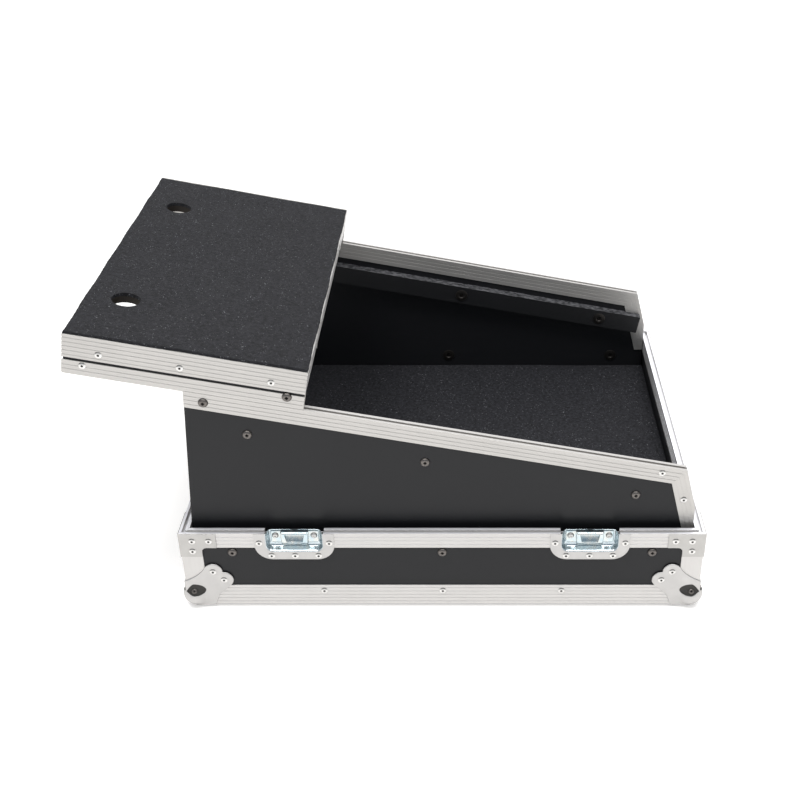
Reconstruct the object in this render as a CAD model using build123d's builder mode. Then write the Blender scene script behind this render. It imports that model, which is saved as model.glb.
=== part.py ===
from build123d import *
import os
from math import cos, radians, sin, sqrt

# Slant mixer flight case: a shallow plywood base with aluminium edging, a pair of
# sloping rack sides standing in it, and a laptop tray that glides along the slope.
# Millimetres. X runs along the base towards its low front, Y to the right-hand side,
# Z up. The origin is the centre of the floor board's underside.

# Boards, metal and fits
ply = 9.0                  # laminated plywood of floor, walls, rack sides and tray
skin = 1.5                 # wall of every aluminium angle and extrusion
plate = 1.0                # pressed steel of brackets and latch dishes
ball_plate = 1.2           # pressed steel of the ball corners
foam_gap = 0.3             # slack round a foam pad
running_gap = 0.3          # clearance between pieces that slide on each other

# Base tray
rack_clear = 485.0         # clear width between the rack sides
packing = 10.5             # board that packs out the gap between wall and rack side
base_length = 657.0        # over the edging
rim_top = 111.0            # top of the rim above the underside of the floor
angle_leg = 30.0           # leg of the bottom edging
corner_leg = 27.0          # leg of the upright corner edging
floor_pad = 55.0           # thickness of the floor foam
foam_round = 2.0
packing_drop = 1.0         # packing board ends this far below the rim's inner leg

# Grooved capping extrusion of the rim and of the rack sides
cap_outer_leg = 22.0
cap_inner_leg = 24.0
cap_groove_width = 4.0
cap_groove_depth = 4.0
cap_outer_ridge = 3.5
rib_width = 1.2
rib_depth = 0.4
rib_pitch = 5.5
rib_margin = 4.0           # first rib from a leg's edge

# Rack sides
slope = 10.63              # degrees, falling towards the front
rail_rear_height = 305.6   # top of the rail at its rear end
end_gap = 2.4              # rack side to end wall of the base
rear_lean = 13.6           # rear edge leans in by this at the top
nose_back = 14.7           # top front corner behind the foot of the front edge
post_knee = 136.9          # height where the leaning front edge turns upright
post_foot = 92.0           # lower end of the front post
batten_drop = 33.5         # batten's top edge below the rail top, square to the slope
batten_height = 28.0
batten_thick = 15.0
batten_rear_gap = 12.0     # batten end inside the rear edge
batten_front_gap = 3.5     # batten end inside the front post's face
rebate_gap = 1.5           # play behind the post's leg in the batten's rebate

# Laptop tray
tray_length = 282.0
band_height = 17.5         # lower edging of the tray
shadow_gap = 3.5           # bare board between the two edgings
trim_leg = 30.0            # side leg of the upper edging
trim_top_leg = 20.0
tray_foam_thick = 3.5
foam_setback = 8.0         # bare edging beside the foam on the right
tongue_width = 3.0
tongue_length = 3.4
apron_height = 18.0        # strip under the tray's front and rear edges
port_radius = 17.5         # cable holes
port_from_rear = 48.0
port_from_left = 99.0
port_from_right = 109.0

# Glide shoe on the tray and stop block on the rack side; shoe against stop sets the overhang
shoe_length = 92.0
shoe_front = 6.0           # shoe's front end behind the tray's front
shoe_thick = 5.0
shoe_rise = 21.0           # up the inside of the tray
hook_drop = 29.5           # foot of the hook below the rail top, clear of a mixer's ear on the batten
shoe_screw_rise = 14.3
shoe_screw_front = 21.0    # screw behind the tray's front
stop_length = 38.0
stop_thick = 12.0
stop_centre = 24.6         # from the rear end of the rail
stop_top = 2.0             # below the rail top
stop_low = 22.0
stop_screw_drop = 11.7

# Recessed latch dishes and keepers
latch_spacing = 185.0      # each latch from the middle of the side
dish_width = 100.0
dish_height = 40.0
dish_corner = 22.0
bowl_width = 70.0
bowl_drop = 28.0
bowl_depth = 9.0
bowl_corner = 6.0
bowl_slack = 1.0           # cut in wall and rim round the bowl
keeper_ear = 1.2
keeper_width = 60.0
keeper_height = 17.0
keeper_drop = 2.0          # keeper below the rim top
keeper_corner = 2.5
loop_width = 35.0
loop_height = 23.0
loop_stand = 4.5           # raised loop in front of the ears
loop_corner = 4.0
loop_window = 24.0
loop_window_height = 12.0
loop_window_drop = 2.5     # window below the loop's upper edge
loop_bevel = 1.2

# Corner brackets and ball corners
bracket_arm = 46.0
bracket_drop = 36.0
bracket_round = 6.0
ball_radius = 17.2
ball_inset = 10.0          # ball's centre inside the side faces
ball_rise = 12.0           # ball's centre above the lowest edging
petal_top = 37.3
lobe_radius = 12.0
upper_lobe = (37.0, 52.5)
lower_lobe = (49.8, 39.5)
petal_waist = (41.7, 15.2)
petal_foot = 35.4
petal_neck_turn = 25.0     # where the upper lobe leaves the petal's neck
petal_hip_turn = 45.0      # where the lower lobe turns back to the waist
petal_swell = 6.0          # how far the ball's outline rises between corner and neck
petal_bulge = 0.8          # how far the petal under the floor reaches, against petal_foot
eye_width = 24.0
eye_height = 13.0
eye_tilt = 38.0
eye_depth = 2.0

# Fasteners
drill_sides = 8            # holes and fasteners are many-sided to keep them light
eye_screw = 6.0
eye_screw_height = 0.8
bolt_head = 12.0
bolt_head_height = 3.2
bolt_head_taper = 25.0
bolt_shank = 6.0
bolt_hole = 6.6
nut_flange = 19.0
nut_flange_height = 1.2
wall_bolt_x = 264.0
wall_bolt_z = 81.0
screw_shank = 5.0
screw_hole = 5.4
nut_bore = 6.8
batten_bolt_rear = -232.5
batten_bolt_front = 240.2
batten_bolt_middle = {"left": -19.9, "right": 21.4}

# Worked-out places
cap = skin + cap_groove_depth
half_length = base_length / 2
half_width = rack_clear / 2 + ply + packing + ply + skin
wall_in = skin + ply                       # wall's inner face inside the edging face
wall_top = rim_top - cap
rim_leg_low = rim_top - cap_outer_leg
angle_top = angle_leg - skin
side_out = rack_clear / 2 + ply            # outer face of a rack side board
side_end = half_length - wall_in - end_gap
packing_top = rim_top - cap_inner_leg - packing_drop
SIDES = {"left": -1, "right": 1}
ENDS = {"rear": -1, "front": 1}
ALL_SIDES = ("left", "right", "front", "rear")

# Frame of the sloping rail top: local x down the slope, local z square to it
rail_rear_x = -side_end + rear_lean
SLOPE = Plane(
    origin=(rail_rear_x, 0, rail_rear_height),
    x_dir=(cos(radians(slope)), 0, -sin(radians(slope))),
    z_dir=(sin(radians(slope)), 0, cos(radians(slope))),
)
nose_x = side_end - nose_back
rail_length = (nose_x - rail_rear_x) / cos(radians(slope))
nose_z = rail_rear_height - rail_length * sin(radians(slope))
NOSE = Vector(nose_x, 0, nose_z)
post_dir = Vector(nose_back, 0, post_knee - nose_z).normalized()
POST = Plane(origin=NOSE, x_dir=post_dir, z_dir=Vector(-post_dir.Z, 0, post_dir.X))
post_length = (nose_z - post_foot) / -post_dir.Z

# Along and square to the slope, in its frame
stop_front_x = stop_centre + stop_length / 2
shoe_rear_x = stop_front_x + running_gap
shoe_front_x = shoe_rear_x + shoe_length
tray_front = shoe_front_x + shoe_front
tray_rear = tray_front - tray_length
shoe_screw_run = tray_front - shoe_screw_front
tray_half = side_out + skin
band_low = running_gap
band_top = band_low + band_height
trim_low = band_top + shadow_gap
trim_top = trim_low + trim_leg
board_top = trim_top - skin
board_low = board_top - ply
TRAY = Plane(
    origin=SLOPE.from_local_coords(Vector((tray_rear + tray_front) / 2, 0, 0)),
    x_dir=SLOPE.x_dir,
    z_dir=SLOPE.z_dir,
)

os.makedirs("parts", exist_ok=True)


def save(piece, name):
    """Label a finished piece and write its STEP file."""
    piece.label = name
    export_step(piece, f"parts/{name}.step")


def mirrored(piece, about):
    """The same piece on the other side of a plane."""
    with BuildPart() as twin:
        add(piece)
        mirror(about=about, mode=Mode.REPLACE)
    return twin.part


def four_fold(piece):
    """A front right piece together with its three mirror images."""
    with BuildPart() as group:
        add(piece)
        mirror(about=Plane.XZ)
        mirror(about=Plane.YZ)
    return group.part


def at_corners(piece, stem):
    """Write a front right piece and its three mirror images."""
    front_left = mirrored(piece, Plane.XZ)
    save(piece, f"{stem}_front_right")
    save(front_left, f"{stem}_front_left")
    save(mirrored(piece, Plane.YZ), f"{stem}_rear_right")
    save(mirrored(front_left, Plane.YZ), f"{stem}_rear_left")


def edge_plane(frame, side, half_run_x, half_run_y, height):
    """Plane across an edging at its first corner: x outwards, y up, z along the run."""
    outward, across, run = {
        "front": (frame.x_dir, half_run_x, half_run_y),
        "rear": (-frame.x_dir, half_run_x, half_run_y),
        "right": (frame.y_dir, half_run_y, half_run_x),
        "left": (-frame.y_dir, half_run_y, half_run_x),
    }[side]
    along = outward.cross(frame.z_dir)
    origin = frame.origin + outward * (across - skin) - along * run + frame.z_dir * height
    return Plane(origin=origin, x_dir=outward, z_dir=along)


def rib_heights(low, high):
    """Evenly pitched ribs between two edges of a leg."""
    count = int((high - low - 2 * rib_margin) / rib_pitch) + 1
    first = (low + high - (count - 1) * rib_pitch) / 2
    return [first + i * rib_pitch for i in range(count)]


def capping_section():
    """Grooved extrusion that straddles a board; the board's edge is y = 0, x = 0 its outer face."""
    Polygon(
        (0, 0),
        (0, cap - cap_outer_leg),
        (skin, cap - cap_outer_leg),
        (skin, cap),
        (skin - cap_outer_ridge, cap),
        (skin - cap_outer_ridge, skin),
        (skin - cap_outer_ridge - cap_groove_width, skin),
        (skin - cap_outer_ridge - cap_groove_width, cap),
        (-wall_in, cap),
        (-wall_in, cap - cap_inner_leg),
        (-ply, cap - cap_inner_leg),
        (-ply, 0),
        align=None,
    )
    cut_ribs(cap - cap_outer_leg, cap, skin)
    cut_ribs(cap - cap_inner_leg, cap, -wall_in)


def cut_ribs(low, high, face_x):
    """Shallow ribs down one upright face of a section."""
    with Locations(*[(face_x, y) for y in rib_heights(low, high)]):
        Rectangle(2 * rib_depth, rib_width, mode=Mode.SUBTRACT)


def bottom_angle_section():
    """Angle round the foot of the base; y = 0 is the floor's underside."""
    with Locations((skin, -skin)):
        Rectangle(angle_leg, angle_leg, align=(Align.MAX, Align.MIN))
    with Locations((0, 0)):
        Rectangle(angle_leg, angle_leg, align=(Align.MAX, Align.MIN), mode=Mode.SUBTRACT)
    cut_ribs(-skin, angle_top, skin)


def tray_angle_section():
    """Upper edging of the tray; y = 0 is the board's upper face."""
    with Locations((skin, skin)):
        Rectangle(trim_top_leg, trim_leg, align=(Align.MAX, Align.MAX))
    with Locations((0, 0)):
        Rectangle(trim_top_leg, trim_leg, align=(Align.MAX, Align.MAX), mode=Mode.SUBTRACT)
    cut_ribs(skin - trim_leg, skin, skin)


def tray_rail_section():
    """Channel under the tray's side board with a tongue for the rail's groove."""
    Polygon(
        (skin, 0),
        (skin, band_height),
        (0, band_height),
        (0, skin),
        (-ply, skin),
        (-ply, band_height),
        (-wall_in, band_height),
        (-wall_in, 0),
        align=None,
    )
    with Locations((skin - cap_outer_ridge - cap_groove_width / 2, 0)):
        Rectangle(tongue_width, tongue_length, align=(Align.CENTER, Align.MAX))
    cut_ribs(0, band_height, skin)


def mitred_bar(plane, length, draw_section):
    """Edging with both ends mitred at 45 degrees on its outer face."""
    start = plane.origin + plane.x_dir * skin
    finish = start + plane.z_dir * length
    with BuildPart() as bar:
        with BuildSketch(plane):
            draw_section()
        extrude(amount=length)
        split(bisect_by=Plane(start, z_dir=plane.z_dir + plane.x_dir), keep=Keep.TOP)
        split(bisect_by=Plane(finish, z_dir=plane.z_dir - plane.x_dir), keep=Keep.BOTTOM)
    return bar.part


def cut_ball_corners():
    """Room for the ball corners, cut from every board and edging that meets there."""
    corners = [(x * half_length, y * half_width, -skin) for x in (-1, 1) for y in (-1, 1)]
    with Locations(*corners):
        Box(2 * ball_inset, 2 * ball_inset, 2 * ball_rise, mode=Mode.SUBTRACT)


def drill(place, radius, depth):
    """Hole along Y, cut inwards from a face on the positive side."""
    with BuildSketch(Plane(origin=place, z_dir=(0, -1, 0))) as outline:
        RegularPolygon(radius, drill_sides)
    extrude(outline.sketch, amount=depth, mode=Mode.SUBTRACT)


def on_slope(run, across, rise):
    """Place given along, across and square to the rail top."""
    return SLOPE.from_local_coords(Vector(run, across, rise))


def run_at(x, drop):
    """Distance along the slope of a place with a given X, some way below the rail top."""
    return (x - rail_rear_x + drop * sin(radians(slope))) / cos(radians(slope))


def upright_plane(y):
    """Plane across Y whose sketches read X to the right and Z up, facing the negative side."""
    return Plane(origin=(0, y, 0), x_dir=(1, 0, 0), z_dir=(0, -1, 0))


def four_ways(place, facing):
    """Planes at a place on the front right quarter and at its three mirror images."""
    return [
        Plane(
            origin=(sx * place[0], sy * place[1], place[2]),
            z_dir=(sx * facing[0], sy * facing[1], facing[2]),
        )
        for sx in (-1, 1)
        for sy in (-1, 1)
    ]


def both_sides(place):
    """Planes that face outwards at a place on the right-hand side and at its mirror image."""
    return [
        Plane(origin=(place[0], sy * place[1], place[2]), z_dir=(0, sy, 0))
        for sy in (-1, 1)
    ]


wall_bolts = [(x, wall_bolt_z) for x in (-wall_bolt_x, 0.0, wall_bolt_x)]
bolt_drop = batten_drop + batten_height / 2


def batten_bolts(side):
    """Bolt places through a rack side into its batten, as X and Z."""
    places = []
    for x in (batten_bolt_rear, batten_bolt_middle[side], batten_bolt_front):
        point = on_slope(run_at(x, bolt_drop), 0, -bolt_drop)
        places.append((point.X, point.Z))
    return places


# Base floor
with BuildPart() as base_floor:
    Box(
        base_length - 2 * skin,
        2 * (half_width - skin),
        ply,
        align=(Align.CENTER, Align.CENTER, Align.MIN),
    )
    cut_ball_corners()
save(base_floor.part, "base_floor")

# Side walls of the base, notched for the latch dishes
bowl_cut = bowl_width + 2 * plate + 2 * bowl_slack
bowl_cut_drop = bowl_drop + plate + bowl_slack
with BuildPart() as side_wall:
    with Locations((0, half_width - wall_in, ply)):
        Box(
            base_length - 2 * skin,
            ply,
            wall_top - ply,
            align=(Align.CENTER, Align.MIN, Align.MIN),
        )
    with Locations(
        (-latch_spacing, half_width - wall_in, rim_top - bowl_cut_drop),
        (latch_spacing, half_width - wall_in, rim_top - bowl_cut_drop),
    ):
        Box(
            bowl_cut,
            ply,
            bowl_cut_drop,
            align=(Align.CENTER, Align.MIN, Align.MIN),
            mode=Mode.SUBTRACT,
        )
    for x, z in wall_bolts:
        drill((x, half_width - skin, z), bolt_hole / 2, ply)
    cut_ball_corners()
save(side_wall.part, "base_wall_right")
save(mirrored(side_wall.part, Plane.XZ), "base_wall_left")

# End walls of the base
with BuildPart() as end_wall:
    with Locations((half_length - wall_in, 0, ply)):
        Box(
            ply,
            2 * (half_width - wall_in),
            wall_top - ply,
            align=(Align.MIN, Align.CENTER, Align.MIN),
        )
save(end_wall.part, "base_wall_front")
save(mirrored(end_wall.part, Plane.YZ), "base_wall_rear")

# Edging round the foot of the base and the grooved rim round its top
for side in ALL_SIDES:
    run = base_length if side in SIDES else 2 * half_width
    foot_plane = edge_plane(Plane.XY, side, half_length, half_width, 0)
    with BuildPart() as bottom_angle:
        add(mitred_bar(foot_plane, run, bottom_angle_section))
        cut_ball_corners()
    save(bottom_angle.part, f"bottom_angle_{side}")

    rim_plane = edge_plane(Plane.XY, side, half_length, half_width, wall_top)
    with BuildPart() as rim:
        add(mitred_bar(rim_plane, run, capping_section))
        if side in SIDES:
            inner = half_width - wall_in
            with Locations(
                (-latch_spacing, SIDES[side] * inner, wall_top - cap_outer_leg),
                (latch_spacing, SIDES[side] * inner, wall_top - cap_outer_leg),
            ):
                Box(
                    bowl_cut,
                    wall_in,
                    2 * cap_outer_leg,
                    align=(Align.CENTER, Align.MIN if side == "right" else Align.MAX, Align.MIN),
                    mode=Mode.SUBTRACT,
                )
            with Locations((-latch_spacing, 0, wall_top), (latch_spacing, 0, wall_top)):
                Box(
                    bowl_cut,
                    2 * half_width,
                    2 * cap,
                    align=(Align.CENTER, Align.CENTER, Align.MIN),
                    mode=Mode.SUBTRACT,
                )
    save(rim.part, f"rim_{side}")

# Upright edging at the four corners
with BuildPart() as corner_angles:
    with BuildSketch(Plane.XY.offset(angle_top)):
        with Locations((half_length, half_width)):
            Rectangle(corner_leg, corner_leg, align=(Align.MAX, Align.MAX))
        with Locations((half_length - skin, half_width - skin)):
            Rectangle(corner_leg, corner_leg, align=(Align.MAX, Align.MAX), mode=Mode.SUBTRACT)
        mirror(about=Plane.YZ)
        mirror(about=Plane.XZ)
    extrude(amount=rim_leg_low - angle_top)
save(corner_angles.part, "corner_angles")

# Planes through the front right corner: local x along the side wall away from the corner
CORNER_FACE = Plane(origin=(half_length, half_width, 0), x_dir=(-1, 0, 0), z_dir=(0, 1, 0))
DIAGONAL = Plane(origin=(half_length, half_width, 0), x_dir=(0, 0, 1), z_dir=(1, -1, 0))

# Top corner bracket, folded round the corner over rim and upright edging
with BuildPart() as corner_bracket:
    with BuildSketch(CORNER_FACE):
        with BuildLine():
            Polyline(
                (-plate, rim_top),
                (bracket_arm, rim_top),
                (bracket_arm, rim_leg_low),
                (corner_leg, rim_leg_low),
                (corner_leg, rim_top - bracket_drop),
                (-plate, rim_top - bracket_drop),
                close=True,
            )
        make_face()
        inner_corner = vertices().sort_by_distance((corner_leg, rim_leg_low))[0]
        fillet(inner_corner, radius=bracket_round)
    extrude(amount=plate)
    mirror(about=DIAGONAL)
at_corners(corner_bracket.part, "corner_bracket")

# Ball corner: a ball with a lobed petal on each face, hollowed to sit on the case
BALL_FACE = Plane(origin=(half_length, half_width, -skin), x_dir=(-1, 0, 0), z_dir=(0, 1, 0))
BALL_FLOOR = Plane(origin=(half_length, half_width, -skin), x_dir=(-1, 0, 0), z_dir=(0, 0, -1))
lobe_step = Vector(*lower_lobe) - Vector(*upper_lobe)
lobe_half = lobe_step.length / 2
lobe_reach = sqrt(lobe_radius**2 - lobe_half**2)
lobe_side = Vector(-lobe_step.Y, lobe_step.X).normalized()
valley = Vector(*upper_lobe) + lobe_step / 2 + lobe_side * lobe_reach
petal_neck = Vector(*upper_lobe) + Vector(-lobe_radius, 0).rotate(Axis.Z, -petal_neck_turn)
petal_hip = Vector(*lower_lobe) + Vector(lobe_radius, 0).rotate(Axis.Z, -petal_hip_turn)
foot_bulge = (petal_foot * petal_bulge, -petal_foot * petal_bulge)
ball_x = half_length - ball_inset
ball_y = half_width - ball_inset
ball_z = ball_rise - skin
inner_block = 2 * (petal_foot + petal_top)
eye_out = cos(radians(eye_tilt))
eye_up = sin(radians(eye_tilt))
eye_floor = ball_radius - eye_depth
SIDE_EYE = Plane(origin=(ball_x, ball_y, ball_z), x_dir=(-1, 0, 0), z_dir=(0, eye_out, eye_up))
END_EYE = Plane(origin=(ball_x, ball_y, ball_z), x_dir=(0, -1, 0), z_dir=(eye_out, 0, eye_up))
with BuildPart() as ball_corner:
    with BuildSketch(BALL_FACE):
        with BuildLine():
            Line((-ball_plate, 0), (-ball_plate, petal_top))
            Line((-ball_plate, petal_top), (0, petal_top))
            ThreePointArc((0, petal_top), (petal_foot / 2, petal_top + petal_swell), petal_neck)
            ThreePointArc(petal_neck, (upper_lobe[0], upper_lobe[1] + lobe_radius), valley)
            ThreePointArc(valley, (lower_lobe[0] + lobe_radius, lower_lobe[1]), petal_hip)
            Line(petal_hip, petal_waist)
            Line(petal_waist, (petal_foot, 0))
            Line((petal_foot, 0), (-ball_plate, 0))
        make_face()
    extrude(amount=ball_plate)
    mirror(about=DIAGONAL)
    with BuildSketch(BALL_FLOOR):
        with BuildLine():
            Line((-ball_plate, ball_plate), (petal_foot, ball_plate))
            ThreePointArc((petal_foot, ball_plate), foot_bulge, (-ball_plate, -petal_foot))
            Line((-ball_plate, -petal_foot), (-ball_plate, ball_plate))
        make_face()
    extrude(amount=ball_plate)
    with Locations((half_length, half_width, -skin)):
        Box(2 * ball_inset, 2 * ball_inset, 2 * ball_rise, mode=Mode.SUBTRACT)
    with Locations((ball_x, ball_y, ball_z)):
        Sphere(ball_radius)
    with Locations(
        (ball_x, half_width, -skin),
        (half_length, ball_y, -skin),
        (half_length, half_width, ball_z),
    ):
        Box(
            inner_block,
            inner_block,
            inner_block,
            align=(Align.MAX, Align.MAX, Align.MIN),
            mode=Mode.SUBTRACT,
        )
    with BuildSketch(SIDE_EYE.offset(eye_floor), END_EYE.offset(eye_floor)):
        with BuildLine():
            ThreePointArc((-eye_width / 2, 0), (0, eye_height / 2), (eye_width / 2, 0))
            ThreePointArc((eye_width / 2, 0), (0, -eye_height / 2), (-eye_width / 2, 0))
        make_face()
    extrude(amount=2 * eye_depth, mode=Mode.SUBTRACT)
save(four_fold(ball_corner.part), "ball_corners")

# Latch dish: a flange with large lower corners round a pressed bowl open at the rim
LATCH = Plane(origin=(latch_spacing, half_width, rim_top), x_dir=(-1, 0, 0), z_dir=(0, 1, 0))


def bowl_form(front, width, drop, depth, corner):
    """Recess run in from a face and open upwards, with rounded back corners and a sloping foot."""
    with BuildPart() as form:
        with BuildSketch(Plane(origin=(latch_spacing, front, rim_top - drop))):
            Rectangle(width, depth, align=(Align.CENTER, Align.MAX))
            fillet(vertices().group_by(Axis.Y)[0], radius=corner)
        extrude(amount=drop)
        foot_edges = form.edges().group_by(Axis.Z)[0].sort_by(Axis.Y)[:-1]
        chamfer(foot_edges, length=corner / 2)
    return form.part


with BuildPart() as latch_dish:
    with BuildSketch(LATCH):
        with Locations((0, -dish_height)):
            Rectangle(dish_width, dish_height, align=(Align.CENTER, Align.MIN))
        fillet(vertices().group_by(Axis.Y)[0], radius=dish_corner)
    extrude(amount=plate)
    add(
        bowl_form(
            half_width,
            bowl_width + 2 * plate,
            bowl_drop + plate,
            bowl_depth + plate,
            bowl_corner,
        )
    )
    add(
        bowl_form(
            half_width + plate,
            bowl_width,
            bowl_drop,
            bowl_depth + plate,
            bowl_corner - plate,
        ),
        mode=Mode.SUBTRACT,
    )
at_corners(latch_dish.part, "latch_dish")

# Latch keeper: two ears on the back of the bowl and a raised loop with a window
with BuildPart() as latch_keeper:
    with BuildSketch(LATCH.offset(-bowl_depth)):
        with Locations((0, -keeper_drop)):
            Rectangle(keeper_width, keeper_height, align=(Align.CENTER, Align.MAX))
        chamfer(vertices(), length=keeper_corner)
    extrude(amount=keeper_ear)
    with BuildSketch(LATCH.offset(-bowl_depth)):
        with Locations((0, -keeper_drop)):
            Rectangle(loop_width, loop_height, align=(Align.CENTER, Align.MAX))
        chamfer(vertices(), length=loop_corner)
    extrude(amount=keeper_ear + loop_stand)
    chamfer(latch_keeper.faces().sort_by(Axis.Y)[-1].edges(), length=loop_bevel)
    with BuildSketch(LATCH.offset(keeper_ear + loop_stand - bowl_depth)):
        with Locations((0, -keeper_drop - loop_window_drop)):
            Rectangle(loop_window, loop_window_height, align=(Align.CENTER, Align.MAX))
    extrude(amount=-loop_stand, mode=Mode.SUBTRACT)
at_corners(latch_keeper.part, "latch_keeper")

# Foam on the base floor
with BuildPart() as floor_foam:
    with Locations((0, 0, ply)):
        Box(
            2 * (half_length - wall_in - foam_gap),
            rack_clear - 2 * foam_gap,
            floor_pad,
            align=(Align.CENTER, Align.CENTER, Align.MIN),
        )
    fillet(floor_foam.edges().group_by(Axis.Z)[-1], radius=foam_round)
save(floor_foam.part, "floor_foam")

# Boards that pack out the gap between the side walls and the rack sides
with BuildPart() as packing_boards:
    with Locations((0, side_out, ply)):
        Box(
            2 * side_end,
            packing,
            packing_top - ply,
            align=(Align.CENTER, Align.MIN, Align.MIN),
        )
    for x, z in wall_bolts:
        drill((x, side_out + packing, z), bolt_hole / 2, packing)
    mirror(about=Plane.XZ)
save(packing_boards.part, "packing_boards")

# Planes that bound a rack side: seats of the two extrusions, mitre and leaning rear edge
mitre_spare = 3 * cap      # extra length that the mitre and the end cuts take off
RAIL_SEAT = SLOPE.offset(-cap)
POST_SEAT = POST.offset(-cap)
MITRE = Plane(origin=NOSE, x_dir=(0, 1, 0), z_dir=SLOPE.x_dir + POST.x_dir)
REAR_EDGE = Plane(
    origin=(rail_rear_x, 0, rail_rear_height),
    x_dir=(0, 1, 0),
    z_dir=(rim_top - rail_rear_height, 0, rear_lean),
)


def rack_side(side):
    """Plywood side of the rack, drawn on the right, with that side's bolt holes."""
    with BuildPart() as board:
        with BuildSketch(upright_plane(side_out)):
            with BuildLine():
                Polyline(
                    (-side_end, ply),
                    (side_end, ply),
                    (side_end, post_knee),
                    (nose_x, nose_z),
                    (rail_rear_x, rail_rear_height),
                    (-side_end, rim_top),
                    close=True,
                )
            make_face()
        extrude(amount=ply)
        split(bisect_by=RAIL_SEAT, keep=Keep.BOTTOM)
        split(bisect_by=POST_SEAT, keep=Keep.BOTTOM)
        for x, z in wall_bolts:
            drill((x, side_out, z), bolt_hole / 2, ply)
        for x, z in batten_bolts(side):
            drill((x, side_out, z), bolt_hole / 2, ply)
        drill(on_slope(stop_centre, side_out, -stop_screw_drop), screw_hole / 2, ply)
    return board.part


save(rack_side("right"), "rack_side_right")
save(mirrored(rack_side("left"), Plane.XZ), "rack_side_left")

# Grooved rail along the slope, mitred into the front post
with BuildPart() as rack_rail:
    with BuildSketch(
        Plane(
            origin=on_slope(-mitre_spare, side_out, -cap),
            x_dir=(0, 1, 0),
            z_dir=SLOPE.x_dir,
        )
    ):
        capping_section()
    extrude(amount=rail_length + 2 * mitre_spare)
    split(bisect_by=MITRE, keep=Keep.BOTTOM)
    split(bisect_by=REAR_EDGE, keep=Keep.BOTTOM)
    drill(on_slope(stop_centre, tray_half, -stop_screw_drop), screw_hole / 2, 2 * ply)
save(rack_rail.part, "rack_rail_right")
save(mirrored(rack_rail.part, Plane.XZ), "rack_rail_left")

with BuildPart() as front_post:
    with BuildSketch(
        Plane(
            origin=POST.from_local_coords(Vector(-mitre_spare, side_out, -cap)),
            x_dir=(0, 1, 0),
            z_dir=POST.x_dir,
        )
    ):
        capping_section()
    extrude(amount=post_length + 2 * mitre_spare)
    split(bisect_by=MITRE, keep=Keep.TOP)
    split(bisect_by=Plane(origin=(side_end, 0, 0), z_dir=(1, 0, 0)), keep=Keep.BOTTOM)
    split(bisect_by=Plane(origin=(0, 0, post_foot), z_dir=(0, 0, 1)), keep=Keep.TOP)
save(front_post.part, "front_post_right")
save(mirrored(front_post.part, Plane.XZ), "front_post_left")


def rack_batten(side):
    """Batten along the slope that carries the rack ears, rebated over the post's leg."""
    turn = SLOPE.x_dir.get_angle(POST.x_dir)
    front_drop = batten_drop * cos(radians(turn)) - batten_front_gap
    front = rail_length + front_drop / sin(radians(turn))
    rear = run_at(rail_rear_x, batten_drop) + batten_rear_gap
    inner_face = Vector(0, rack_clear / 2, 0)
    along_slope = Plane(SLOPE.from_local_coords(inner_face), x_dir=SLOPE.x_dir, z_dir=(0, -1, 0))
    along_post = Plane(POST.from_local_coords(inner_face), x_dir=POST.x_dir, z_dir=(0, -1, 0))
    with BuildPart() as batten:
        with BuildSketch(along_slope):
            with Locations((rear, -batten_drop)):
                Rectangle(front - rear, batten_height, align=(Align.MIN, Align.MAX))
        extrude(amount=batten_thick)
        with BuildSketch(along_post):
            with Locations((0, running_gap)):
                rebate = cap_inner_leg + running_gap + rebate_gap
                Rectangle(post_length, rebate, align=(Align.MIN, Align.MAX))
        extrude(amount=skin + running_gap, mode=Mode.SUBTRACT)
        for x, z in batten_bolts(side):
            drill((x, rack_clear / 2, z), bolt_hole / 2, batten_thick)
    return batten.part


save(rack_batten("right"), "rack_batten_right")
save(mirrored(rack_batten("left"), Plane.XZ), "rack_batten_left")

# Stop blocks inside the rails, which the tray's glide shoes meet
rail_in = rack_clear / 2 - skin
with BuildPart() as stop_blocks:
    with BuildSketch(Plane(origin=on_slope(0, rail_in, 0), x_dir=SLOPE.x_dir, z_dir=(0, -1, 0))):
        with Locations((stop_centre, -stop_top)):
            Rectangle(stop_length, stop_low - stop_top, align=(Align.CENTER, Align.MAX))
    extrude(amount=stop_thick)
    chamfer(stop_blocks.edges().group_by(Axis.Y)[0], length=skin)
    drill(on_slope(stop_centre, rail_in, -stop_screw_drop), screw_hole / 2, stop_thick)
    mirror(about=Plane.XZ)
save(stop_blocks.part, "stop_blocks")

# Tray board with its cable holes
port_run = tray_rear + port_from_rear
ports = [
    (port_run, port_from_left - tray_half),
    (port_run, tray_half - port_from_right),
]
SLOPE_BOARD = SLOPE.offset(board_low)
with BuildPart() as tray_board:
    with BuildSketch(SLOPE_BOARD):
        with Locations(((tray_rear + tray_front) / 2, 0)):
            Rectangle(tray_length - 2 * skin, 2 * side_out)
        with Locations(*ports):
            Circle(port_radius, mode=Mode.SUBTRACT)
    extrude(amount=ply)
save(tray_board.part, "tray_board")

# Foam on the tray: it lies over the edging and fills the step inside it
with BuildPart() as tray_foam:
    with BuildSketch(SLOPE.offset(trim_top)):
        with Locations((tray_rear, -tray_half)):
            Rectangle(tray_length, 2 * tray_half - foam_setback, align=(Align.MIN, Align.MIN))
        with Locations(*ports):
            Circle(port_radius, mode=Mode.SUBTRACT)
    extrude(amount=tray_foam_thick)
    with BuildSketch(SLOPE.offset(board_top)):
        with Locations(((tray_rear + tray_front) / 2, 0)):
            Rectangle(
                tray_length - 2 * (trim_top_leg + foam_gap),
                2 * (tray_half - trim_top_leg - foam_gap),
            )
        with Locations(*ports):
            Circle(port_radius, mode=Mode.SUBTRACT)
    extrude(amount=skin)
save(tray_foam.part, "tray_foam")

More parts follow.
